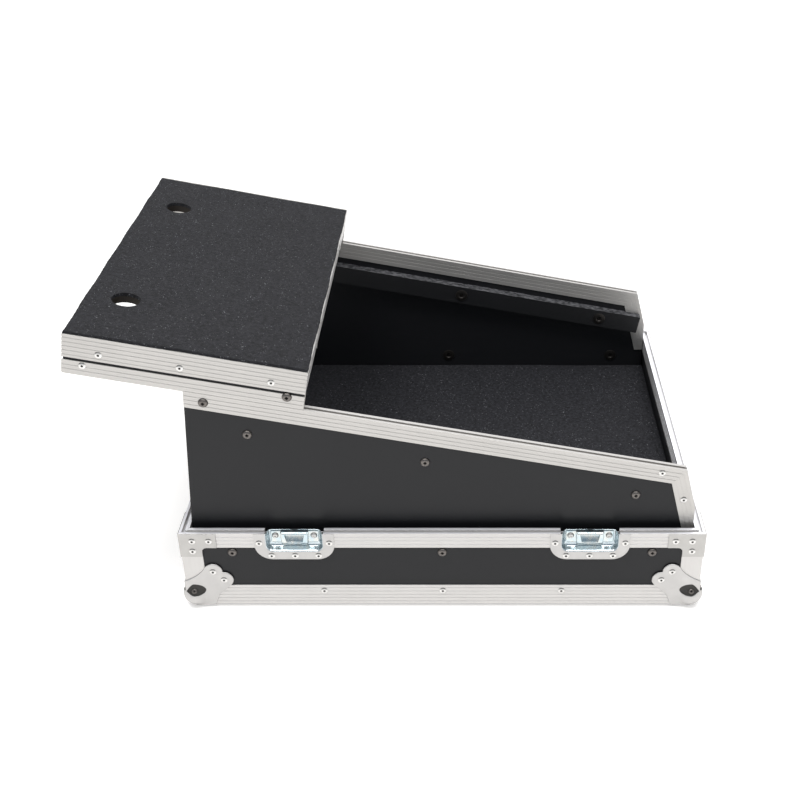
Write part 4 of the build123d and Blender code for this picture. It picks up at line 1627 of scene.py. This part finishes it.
@dataclass
class LatchDish:
    """Recessed dish: a flange with large lower corners round a pressed bowl open at the rim."""

    spacing: float = 185.0
    plate: float = 1.0
    wall: float = 0.9
    eased: float = 0.22
    bright_from: float = 1.0

    def curtains(self) -> Array:
        """Nested U shapes from the outline to the middle.

        Returns:
            Half width, foot, corner radius and depth of each.
        """
        return np.array([
            (50.0, 39.6, 22.0, 0.0), (46.5, 36.4, 18.6, 0.0), (42.5, 32.8, 14.6, 0.0),
            (39.0, 29.6, 11.2, 0.0), (37.0, 28.2, 9.4, 0.0), (36.2, 27.6, 8.8, -0.12),
            (35.6, 27.1, 8.3, -0.45), (35.1, 26.7, 7.9, -1.0), (34.7, 26.3, 7.5, -1.8),
            (34.2, 25.9, 7.1, -3.2), (33.7, 25.5, 6.7, -4.7), (33.2, 25.1, 6.3, -6.2),
            (32.7, 24.7, 5.9, -7.5), (32.0, 24.1, 5.4, -8.6), (31.0, 23.2, 4.9, -9.4),
            (29.8, 22.1, 4.3, -9.85), (28.4, 20.8, 3.6, -10.0), (22.0, 16.0, 2.6, -10.0),
            (14.0, 11.0, 1.6, -10.0), (6.0, 7.0, 0.8, -10.0), (0.0, 3.0, 0.0, -10.0),
        ])

    def surface(self) -> tuple[Array, Array, Array]:
        """Face of the dish.

        Every U hangs from the rim's top and is cut at the same shares: down a straight leg, round a
        quarter circle, along the foot, and up again. The rows from U to U are the dish's section.

        Returns:
            Grids of places across, outwards and up, from the middle of the rim's top.
        """
        half, foot, radius, depth = (column[:, None] for column in self.curtains().T)
        leg = np.linspace(0, 1, 9)[None, :-1]
        turn = np.linspace(0, np.pi / 2, 10)[None, :]
        level = np.linspace(1, 0, 12)[None, 1:]
        straight = foot - radius
        bent = half - radius * (1 - np.cos(turn))
        x = np.concatenate([0 * leg + half, bent, (half - radius) * level], 1)
        below = -straight - radius * np.sin(turn)
        z = np.concatenate([-straight * leg, below, 0 * level - foot], 1)
        x = np.concatenate([x, -x[:, -2::-1]], 1)
        z = np.concatenate([z, z[:, -2::-1]], 1)
        return x, np.repeat(depth, x.shape[1], 1), z

    def build(self, maker: Maker) -> None:
        """Make the four dishes.

        Args:
            maker: makes the pieces.
        """
        finish = PressedZinc("zinc_dish", bright_bowl=True).build()
        x, y, z = self.surface()
        bowl = np.clip(-y / self.bright_from, 0, 1).reshape(-1)
        faces = grid_faces(*x.shape)
        for corner, sx, sy in MIRRORED:
            out = sy * (CASE.half_width + self.plate + y)
            points = np.stack([sx * self.spacing + x, out, CASE.rim_top + z], -1).reshape(-1, 3)
            piece = maker.piece(
                f"dish_plate_{corner}",
                *slab(points, points + np.array([0, -sy * self.wall, 0]), faces),
                finish,
                "zinc_plate",
                "case",
                paint={"bowl": np.tile(bowl, 2)},
                replaced=[f"latch_dish_{corner}"],
                smooth=50.0,
            )
            maker.round_edges(piece, self.eased, 60.0)


@dataclass
class LatchKeeper:
    """Keeper on the back of the bowl: two ears and a raised loop round a scooped window."""

    spacing: float = 185.0
    back: float = 9.0
    drop: float = 2.0
    ear: float = 1.2
    ear_corner: float = 3.0
    ear_border: float = 2.5
    ear_turn: float = 0.6
    ear_lean: float = 0.5
    ear_swell: float = 0.4
    swell_reach: float = 5.5
    half_width: float = 30.0
    height: float = 17.0
    rivet_out: float = 24.2
    rivet_below: float = 6.5
    stand: float = 4.5
    loop_half: float = 17.5
    loop_height: float = 23.0
    loop_lean: float = 0.045
    loop_taper: float = 3.2
    window_half: float = 12.4
    window_lean: float = 0.2
    window_top: float = 2.6
    window_height: float = 11.4
    scoop_back: float = 0.6
    scoop_swing: float = 4.6
    lip_half: float = 8.6
    lip_height: float = 0.5
    lip_below: float = 15.4
    bar_back: float = 0.9
    foot_height: float = 0.7
    shoulder: float = 1.9
    loop_back: float = 0.1
    ear_back: float = 0.12

    def loop_lines(self) -> tuple[Array, Array]:
        """Grid lines of the loop, crowded at the window's border.

        Returns:
            Lines down from its top in millimetres, and lines across, where 1 is the window's border
            and 2 the loop's own.
        """
        half = np.concatenate([
            np.linspace(0, 0.94, 12),
            [0.955, 0.97, 0.985, 1.0, 1.02, 1.05, 1.1],
            np.linspace(1.2, 1.8, 5),
            [1.88, 1.94, 1.975, 2.0],
        ])
        down = np.concatenate([
            [0, 0.25, 0.6, 1.1, 1.7],
            np.linspace(2.3, 3.5, 9),
            np.linspace(4, 13, 12),
            np.linspace(13.2, 14.8, 9),
            np.linspace(15.2, 22.2, 14),
            [22.6, 22.85, 23.0],
        ])
        return np.unique(down), np.concatenate([-half[:0:-1], half])

    def loop(self) -> tuple[Array, Array]:
        """The raised loop as heights over its outline.

        With u across and v down from its top, the frame stands full height. The window lies
        between |u| = 12.4 - 0.2 (v - 2.6) and v from 2.6 to 14. In it the sheet stands 0.6 + 4.6
        times t to the power 1.6 high, t being the share of the way down, and ends in a rounded
        lip. The outline's sides lean in by 0.045 v, and more towards the foot, where the sheet
        rolls back to the plate. Its free edges follow quarter circles.

        Returns:
            Points across, up and outwards, and quads.
        """
        down, across = self.loop_lines()
        v, a = np.meshgrid(down, across, indexing="ij")
        taper = self.loop_taper * soft_step(v, 17.5, self.loop_height) ** 2
        sides = self.loop_half - self.loop_lean * v - taper
        inner = self.window_half - self.window_lean * (v - self.window_top)
        within, beyond = np.minimum(np.abs(a), 1), np.maximum(np.abs(a) - 1, 0)
        u = np.sign(a) * (inner * within + (sides - inner) * beyond)
        window = 1 - soft_step(np.abs(a), 0.955, 1.02)
        window = window * soft_step(v, self.window_top, 3.2) * (1 - soft_step(v, 13.4, 14.6))
        t = np.clip((v - self.window_top) / self.window_height, 0, 1)
        scoop = self.scoop_back + self.scoop_swing * t**1.6
        lip = self.lip_height * soft_step(self.lip_half - np.abs(u), -1.0, 1.6)
        lip = lip * np.exp(-(((v - self.lip_below) / 1.2) ** 2))
        side = np.clip(1 - (sides - np.abs(u)) / self.shoulder, 0, 1)
        brow = np.clip(1 - v / self.window_top, 0, 1)
        rolled = self.ear + self.stand - self.shoulder * (1 - np.sqrt(1 - side**2))
        rolled = rolled - self.window_top * (1 - np.sqrt(1 - brow**2))
        foot = soft_step(v, 18.0, self.loop_height)
        bar = rolled - self.bar_back * soft_step(v, 14.0, 18.0)
        height = bar * (1 - foot) + self.foot_height * foot
        height = height * (1 - window) + scoop * window + lip * (1 - foot)
        return self.closed(u, -self.drop - v, height, self.loop_back)

    def ears(self) -> tuple[Array, Array]:
        """The two ears as one plate behind the loop, its lower corners rounded.

        The last millimetre at the border turns back by 0.6 times its square, the lower part leans
        back by 0.5, and round each rivet the plate swells by 0.4 e to the power -(d / 5.5) squared.

        Returns:
            Points across, up and outwards, and quads.
        """
        w, h, border, radius = self.half_width, self.height, self.ear_border, self.ear_corner
        x = np.concatenate([
            np.linspace(-w, border - w, 6),
            np.linspace(border - w, w - border, 23),
            np.linspace(w - border, w, 6),
        ])
        z = np.concatenate([np.linspace(-h, border - h, 6), np.linspace(border - h, 0, 9)])
        u, v = np.meshgrid(np.unique(x), np.unique(z), indexing="ij")
        a = np.clip(np.abs(u) - (w - radius), 0, radius)
        b = np.clip(radius - h - v, 0, radius)
        share = np.maximum(a, b) / np.maximum(np.hypot(a, b), 1e-6)
        shrink = np.where((a > 0) & (b > 0), share, 1.0)
        u = np.sign(u) * (np.abs(u) - a + a * shrink)
        v = v + b - b * shrink
        near = np.minimum(w - np.abs(u), v + h)
        bend = self.ear_turn * np.clip(1 - near, 0, 1) ** 2
        bend = bend - self.ear_lean * soft_step(-v, 12.0, 16.5)
        off = ((np.abs(u) - self.rivet_out) / self.swell_reach) ** 2
        swell = self.ear_swell * np.exp(-off - ((v + self.rivet_below) / self.swell_reach) ** 2)
        return self.closed(u, v - self.drop, self.ear - bend + swell, self.ear_back)

    def closed(self, across: Array, up: Array, out: Array, back: float) -> tuple[Array, Array]:
        """Close a grid of the keeper's face with a flat back just outside the dish.

        Args:
            across: places across.
            up: places up.
            out: places outwards.
            back: where the flat back lies.

        Returns:
            Points and quads.
        """
        top = np.stack([across, up, out], -1).reshape(-1, 3)
        return slab(top, top * [1, 1, 0] + [0, 0, back], grid_faces(*out.shape))

    def build(self, maker: Maker) -> None:
        """Make the four keepers.

        Args:
            maker: makes the pieces.
        """
        finish = BrightZinc("bright_zinc").build()
        local, faces = joined(self.loop(), self.ears())
        across, up, out = local.T
        for corner, sx, sy in MIRRORED:
            maker.piece(
                f"keeper_{corner}",
                np.stack(
                    [
                        sx * self.spacing + across,
                        sy * (CASE.half_width - self.back + out),
                        CASE.rim_top + up,
                    ],
                    -1,
                ),
                faces,
                finish,
                "bright_zinc",
                "case",
                replaced=[f"latch_keeper_{corner}"],
                smooth=50.0,
            )


def sideways(places: Array, way: float = 1.0) -> Array:
    """Directions out from the case's middle plane at places, or back to it where the way is -1."""
    return np.stack([0 * places[:, 0], way * np.sign(places[:, 1]), 0 * places[:, 0]], -1)


@dataclass
class Screws:
    """Bolts, nuts and screws, all of blackened steel."""

    head_radius: float = 6.0
    head_height: float = 3.2
    head_segments: int = 32
    shank_radius: float = 2.8
    shank_segments: int = 16
    nut_segments: int = 28
    nut_wear: float = 0.3
    wall_bolt_x: tuple[float, ...] = (-264.0, 0.0, 264.0)
    wall_bolt_z: float = 81.0
    wall_shank: float = 29.0
    batten_drop: float = 47.5
    batten_rear: float = -232.5
    batten_front: float = 240.2
    batten_middle: tuple[tuple[int, float], ...] = ((-1, -19.9), (1, 21.4))
    batten_shank: float = 24.6
    stop_run: float = 24.6
    stop_drop: float = 11.7
    stop_shank: float = 22.0
    shoe_back: float = 21.0
    shoe_rise: float = 14.3
    shoe_shank: float = 15.0
    eye_scale: float = 0.66
    eye_reach: float = 15.2
    corner: BallCorner = field(default_factory=BallCorner)

    def head(self, scale: float = 1.0) -> tuple[Array, Array, Array]:
        """A domed head with a cross recess, on the z axis.

        The profile runs from the middle of the recess over the crown to the foot. The recess is
        drawn in between its four arms: radius times (0.62 + 0.38 |cos 2a| squared).

        Args:
            scale: factor on radius and height; the recess keeps its depth.

        Returns:
            Points, quads and how much the crown is worn at each point.
        """
        r, h = self.head_radius * scale, self.head_height * scale
        profile = np.array([
            (0.0, h - 2.1), (0.9, h - 1.9), (1.5, h - 1.4), (2.15, h - 0.35), (2.5, h - 0.02),
            (3.3, h - 0.12), (4.3, h - 0.5), (5.1, h - 1.15), (5.7, h - 2.0), (6.0, h - 2.9),
            (6.0, 0.0), (5.0, -0.1), (0.0, -0.1),
        ])
        wear = np.array([0, 0, 0, 0.25, 1, 1, 1, 0.8, 0.45, 0.15, 0, 0, 0])
        profile[:, 0] *= r / 6.0
        angle = np.linspace(0, 2 * np.pi, self.head_segments, endpoint=False)
        wave = np.ones((len(profile), self.head_segments))
        wave[1:4] = 0.62 + 0.38 * np.abs(np.cos(2 * angle)) ** 2
        points, faces = turned(profile, self.head_segments, wave)
        return points, faces, np.repeat(wear, self.head_segments)

    def rod(self, radius: float, low: float) -> tuple[Array, Array]:
        """A plain shank below a head."""
        end = [(radius, low + 0.6), (radius - 0.6, low), (0.0, low)]
        return turned(np.array([(0.0, 0.0), (radius, 0.0), *end]), self.shank_segments)

    def batten_places(self) -> Array:
        """Places where bolts go through the rack sides into the battens.

        Returns:
            One place for each bolt.
        """
        return np.array([
            (x, sign * CASE.side_out, CASE.slope_height(x, self.batten_drop))
            for sign, middle in self.batten_middle
            for x in (self.batten_rear, middle, self.batten_front)
        ])

    def wall_places(self) -> Array:
        """Places where bolts go through wall, packing and rack side."""
        y, z = CASE.half_width - CASE.skin, self.wall_bolt_z
        return np.array([(x, sign * y, z) for sign in (-1, 1) for x in self.wall_bolt_x])

    def headed(self, places: Array, shank: float) -> tuple[Array, Array, Array]:
        """Heads with shanks that face away from the case's middle plane.

        Args:
            places: where the heads sit.
            shank: length of the shanks.

        Returns:
            Points, quads and the crowns' wear at each point.
        """
        head, head_faces, worn = self.head()
        rod, rod_faces = self.rod(self.shank_radius, -shank)
        points, faces = joined((head, head_faces), (rod, rod_faces))
        put, put_faces = repeated(points, faces, places, facing_frames(sideways(places)))
        return put, put_faces, np.tile(np.concatenate([worn, np.zeros(len(rod))]), len(places))

    def nuts(self) -> tuple[Array, Array, Array]:
        """Flanged nuts with a raised collar and the bolt's end in it, on the inside of every bolt.

        Returns:
            Points, quads and the wear at each point.
        """
        profile = np.array([
            (0.0, 0.4), (2.9, 0.4), (3.1, 0.2), (3.5, 0.9), (4.1, 1.45), (5.0, 1.5),
            (6.0, 1.25), (8.6, 1.2), (9.3, 0.9), (9.5, 0.4), (9.5, 0.0), (0.0, 0.0),
        ])
        wear = np.array([0.1, 0.1, 0, 0.2, 0.5, 0.5, 0.2, 0.2, 0.4, 0.1, 0, 0])
        points, faces = turned(profile, self.nut_segments)
        wall, batten = self.wall_places(), self.batten_places()
        wall[:, 1] = np.sign(wall[:, 1]) * CASE.rack_clear / 2
        batten[:, 1] = np.sign(batten[:, 1]) * (CASE.rack_clear / 2 - CASE.batten_thick)
        places = np.concatenate([wall, batten])
        put, put_faces = repeated(points, faces, places, facing_frames(sideways(places, -1.0)))
        worn = self.nut_wear * np.tile(np.repeat(wear, self.nut_segments), len(places))
        return put, put_faces, worn

    def eye_screws(self) -> tuple[Array, Array, Array]:
        """Screws in the eyes of the ball corners, along the rays from the balls' middles.

        Returns:
            Points, quads and the wear at each point.
        """
        tilt = np.radians(self.corner.eye_tilt)
        out, up = np.cos(tilt), np.sin(tilt)
        x, y = CASE.half_length - self.corner.inset, CASE.half_width - self.corner.inset
        places, normals = [], []
        for sx in (-1, 1):
            for sy in (-1, 1):
                middle = np.array([sx * x, sy * y, self.corner.rise - CASE.skin])
                for facing in ((0.0, sy * out, up), (sx * out, 0.0, up)):
                    places.append(middle + np.array(facing) * self.eye_reach)
                    normals.append(facing)
        head, head_faces, worn = self.head(self.eye_scale)
        frames = facing_frames(np.array(normals))
        put, put_faces = repeated(head, head_faces, np.array(places), frames)
        return put, put_faces, np.tile(worn, len(places))

    def build(self, maker: Maker) -> None:
        """Make every bolt, nut and screw.

        Args:
            maker: makes the pieces.
        """
        finish = DarkSteel("dark_steel").build()
        both = np.array([-CASE.tray_half, CASE.tray_half])
        wall = self.headed(self.wall_places(), self.wall_shank)
        batten = self.headed(self.batten_places(), self.batten_shank)
        stops = self.headed(CASE.on_slope(self.stop_run, both, -self.stop_drop), self.stop_shank)
        shoe_run = CASE.tray_front - self.shoe_back
        shoes = self.headed(CASE.on_slope(shoe_run, both, self.shoe_rise), self.shoe_shank)
        for name, body, node, sets in (
            ("rack_bolt_set", "case", "rack_bolts", (wall, batten)),
            ("flange_nut_set", "case", "flange_nuts", (self.nuts(),)),
            ("case_screw_set", "case", "case_screws", (stops, self.eye_screws())),
            ("tray_screw_set", "laptop_tray", "tray_screws", (shoes,)),
        ):
            points, faces = joined(*(part[:2] for part in sets))
            paint = {"crown": np.concatenate([part[2] for part in sets])}
            maker.piece(
                name, points, faces, finish, "dark_fastener", body, paint=paint, replaced=[node]
            )


@dataclass
class Rivets:
    """Blind rivets of the case, the tray and the keepers."""

    radius: float = 4.5
    height: float = 1.3
    segments: int = 24
    foot_rise: float = 19.5
    foot_side_x: tuple[float, ...] = (-152.0, 0.0, 152.0)
    foot_end_y: tuple[float, ...] = (-130.0, 0.0, 130.0)
    bracket_plate: float = 1.0
    bracket_places: tuple[Pair, ...] = ((16.0, 11.5), (36.8, 11.5), (15.2, 27.0))
    dish_places: tuple[Pair, ...] = (
        (0, 33.8), (-29.5, 33.8), (29.5, 33.8), (-43.8, 14.2), (43.8, 14.2)
    )
    rail_place: Pair = (270.2, 9.0)
    post_place: Pair = (42.0, 12.0)
    post_across: Triple = (0.9667, 0.0, 0.2561)
    tray_side_places: tuple[Pair, ...] = ((42.0, 30.3), (135.0, 30.3), (241.0, 30.3), (24.0, 12.8))
    tray_end_place: Pair = (150.0, 30.3)
    keeper_scale: Triple = (0.95, 0.95, 2.1)
    keeper_back: float = 7.65
    keeper_drop: float = 8.0
    corner: BallCorner = field(default_factory=BallCorner)
    dish: LatchDish = field(default_factory=LatchDish)
    keeper: LatchKeeper = field(default_factory=LatchKeeper)

    def rivet(self) -> tuple[Array, Array, Array]:
        """One blind rivet on the z axis: a low dome round a hollow, its upper flank in painted
        shade.

        Returns:
            Points, quads, and the painted shade at each point: a row for each point of the profile.
        """
        r, h = self.radius, self.height
        profile = np.array([
            (0.0, h - 0.8), (0.95, h - 0.75), (1.3, h - 0.25), (1.6, h), (2.3, h - 0.08),
            (3.1, h - 0.32), (3.9, h - 0.72), (4.4, 0.25), (r, 0.0), (4.2, -0.08), (0.0, -0.08),
        ])
        count = self.segments
        # Painted shade in the hollow and at the head's edge.
        pit = np.repeat(np.array([1, 1, 0.85, 0.1, 0, 0, 0, 0.2, 0.5, 0.5, 0.5])[:, None], count, 1)
        angle = np.linspace(0, 2 * np.pi, count, endpoint=False)
        # Painted shade as a dark arc on the upper flank.
        flank = np.array([0.25, 0.75, 0.9, 0.5])[:, None] * soft_step(np.sin(angle), 0.25, 0.85)
        pit[5:9] = np.maximum(pit[5:9], flank)
        return *turned(profile, count), pit.reshape(-1)

    def case_rivets(self) -> tuple[Array, Array]:
        """Where the rivets of the base and the rack sit.

        Returns:
            Places and directions.
        """
        length, width, top = CASE.half_length, CASE.half_width, CASE.rim_top
        dish, bracket, ball = self.dish.plate, self.bracket_plate, self.corner.plate
        found: list[tuple[Triple, Triple]] = []
        rail_x, rail_drop = self.rail_place
        down, inwards = self.post_place
        post = np.array(CASE.nose) + down * np.array(POST_DIR)
        post = post - inwards * np.array(self.post_across)
        for sy in (-1, 1):
            side = (0, sy, 0)
            found += [((x, sy * width, self.foot_rise), side) for x in self.foot_side_x]
            found += [
                ((x + dx, sy * (width + dish), top - dz), side)
                for x in (-self.dish.spacing, self.dish.spacing)
                for dx, dz in self.dish_places
            ]
            rail_z = CASE.slope_height(rail_x, rail_drop)
            found.append(((rail_x, sy * CASE.tray_half, rail_z), side))
            found.append(((post[0], sy * CASE.tray_half, post[2]), side))
            for sx in (-1, 1):
                end = (sx, 0, 0)
                for run, below in self.bracket_places:
                    found.append(((sx * (length - run), sy * (width + bracket), top - below), side))
                    found.append(((sx * (length + bracket), sy * (width - run), top - below), end))
                for run, rise in (self.corner.upper_lobe, self.corner.lower_lobe):
                    up = rise - CASE.skin
                    found.append(((sx * (length - run), sy * (width + ball), up), side))
                    found.append(((sx * (length + ball), sy * (width - run), up), end))
        for sx in (-1, 1):
            found += [((sx * length, y, self.foot_rise), (sx, 0, 0)) for y in self.foot_end_y]
        places, normals = zip(*found)
        return np.array(places, float), np.array(normals, float)

    def tray_rivets(self) -> tuple[Array, Array]:
        """Where the rivets of the laptop tray sit.

        Returns:
            Places and directions.
        """
        places, normals = [], []
        across, up = self.tray_end_place
        ends = ((CASE.tray_rear, scaled(SLOPE_DIR, -1)), (CASE.tray_front, SLOPE_DIR))
        for sy in (-1, 1):
            for run, rise in self.tray_side_places:
                places.append(CASE.on_slope(CASE.tray_rear + run, sy * CASE.tray_half, rise))
                normals.append((0.0, sy, 0.0))
            for run, facing in ends:
                places.append(CASE.on_slope(run, sy * across, up))
                normals.append(facing)
        return np.array(places, float), np.array(normals, float)

    def keeper_rivets(self) -> tuple[Array, Array]:
        """Where the small rivets in the keepers' ears sit.

        Returns:
            Places and directions.
        """
        out = CASE.half_width - self.keeper_back
        places = np.array([
            (sx * self.keeper.spacing + dx, sy * out, CASE.rim_top - self.keeper_drop)
            for sx in (-1, 1)
            for sy in (-1, 1)
            for dx in (-self.keeper.rivet_out, self.keeper.rivet_out)
        ])
        return places, sideways(places)

    def build(self, maker: Maker) -> None:
        """Make all blind rivets, and the smaller ones that hold the keepers.

        Args:
            maker: makes the pieces.
        """
        finish = RivetMetal("rivet_metal").build()
        points, faces, pit = self.rivet()
        # Painted shade for the keepers' rivets: a dark ring round the dome.
        dull = np.array([0, 0, 0, 0, 0, 0.25, 0.7, 0.8, 0.7, 0.5, 0.5])
        ring = np.repeat(dull, self.segments)
        small = points * np.array(self.keeper_scale)
        for name, body, slot, shape, dark, (places, normals) in (
            ("case_rivets", "case", "aluminium_edging", points, pit, self.case_rivets()),
            ("tray_rivets", "laptop_tray", "aluminium_edging", points, pit, self.tray_rivets()),
            ("keeper_rivets", "case", "bright_zinc", small, ring, self.keeper_rivets()),
        ):
            put, put_faces = repeated(shape, faces, places, facing_frames(normals))
            paint = {"pit": np.tile(dark, len(places))}
            maker.piece(name, put, put_faces, finish, slot, body, paint=paint)


def main() -> None:
    """Build the camera, the studio and the pieces in order."""
    logging.basicConfig(level=logging.INFO, format="%(name)s: %(message)s")
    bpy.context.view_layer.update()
    PhotoCamera().build()
    Studio().build()
    maker = Maker()
    Boards().dress(maker)
    Edging().dress(maker)
    Slides().dress(maker)
    FoamPads().build(maker)
    BallCorner().build(maker)
    LatchDish().build(maker)
    LatchKeeper().build(maker)
    Screws().build(maker)
    Rivets().build(maker)
    LOG.info("boxes written")


if __name__ == "__main__":
    main()
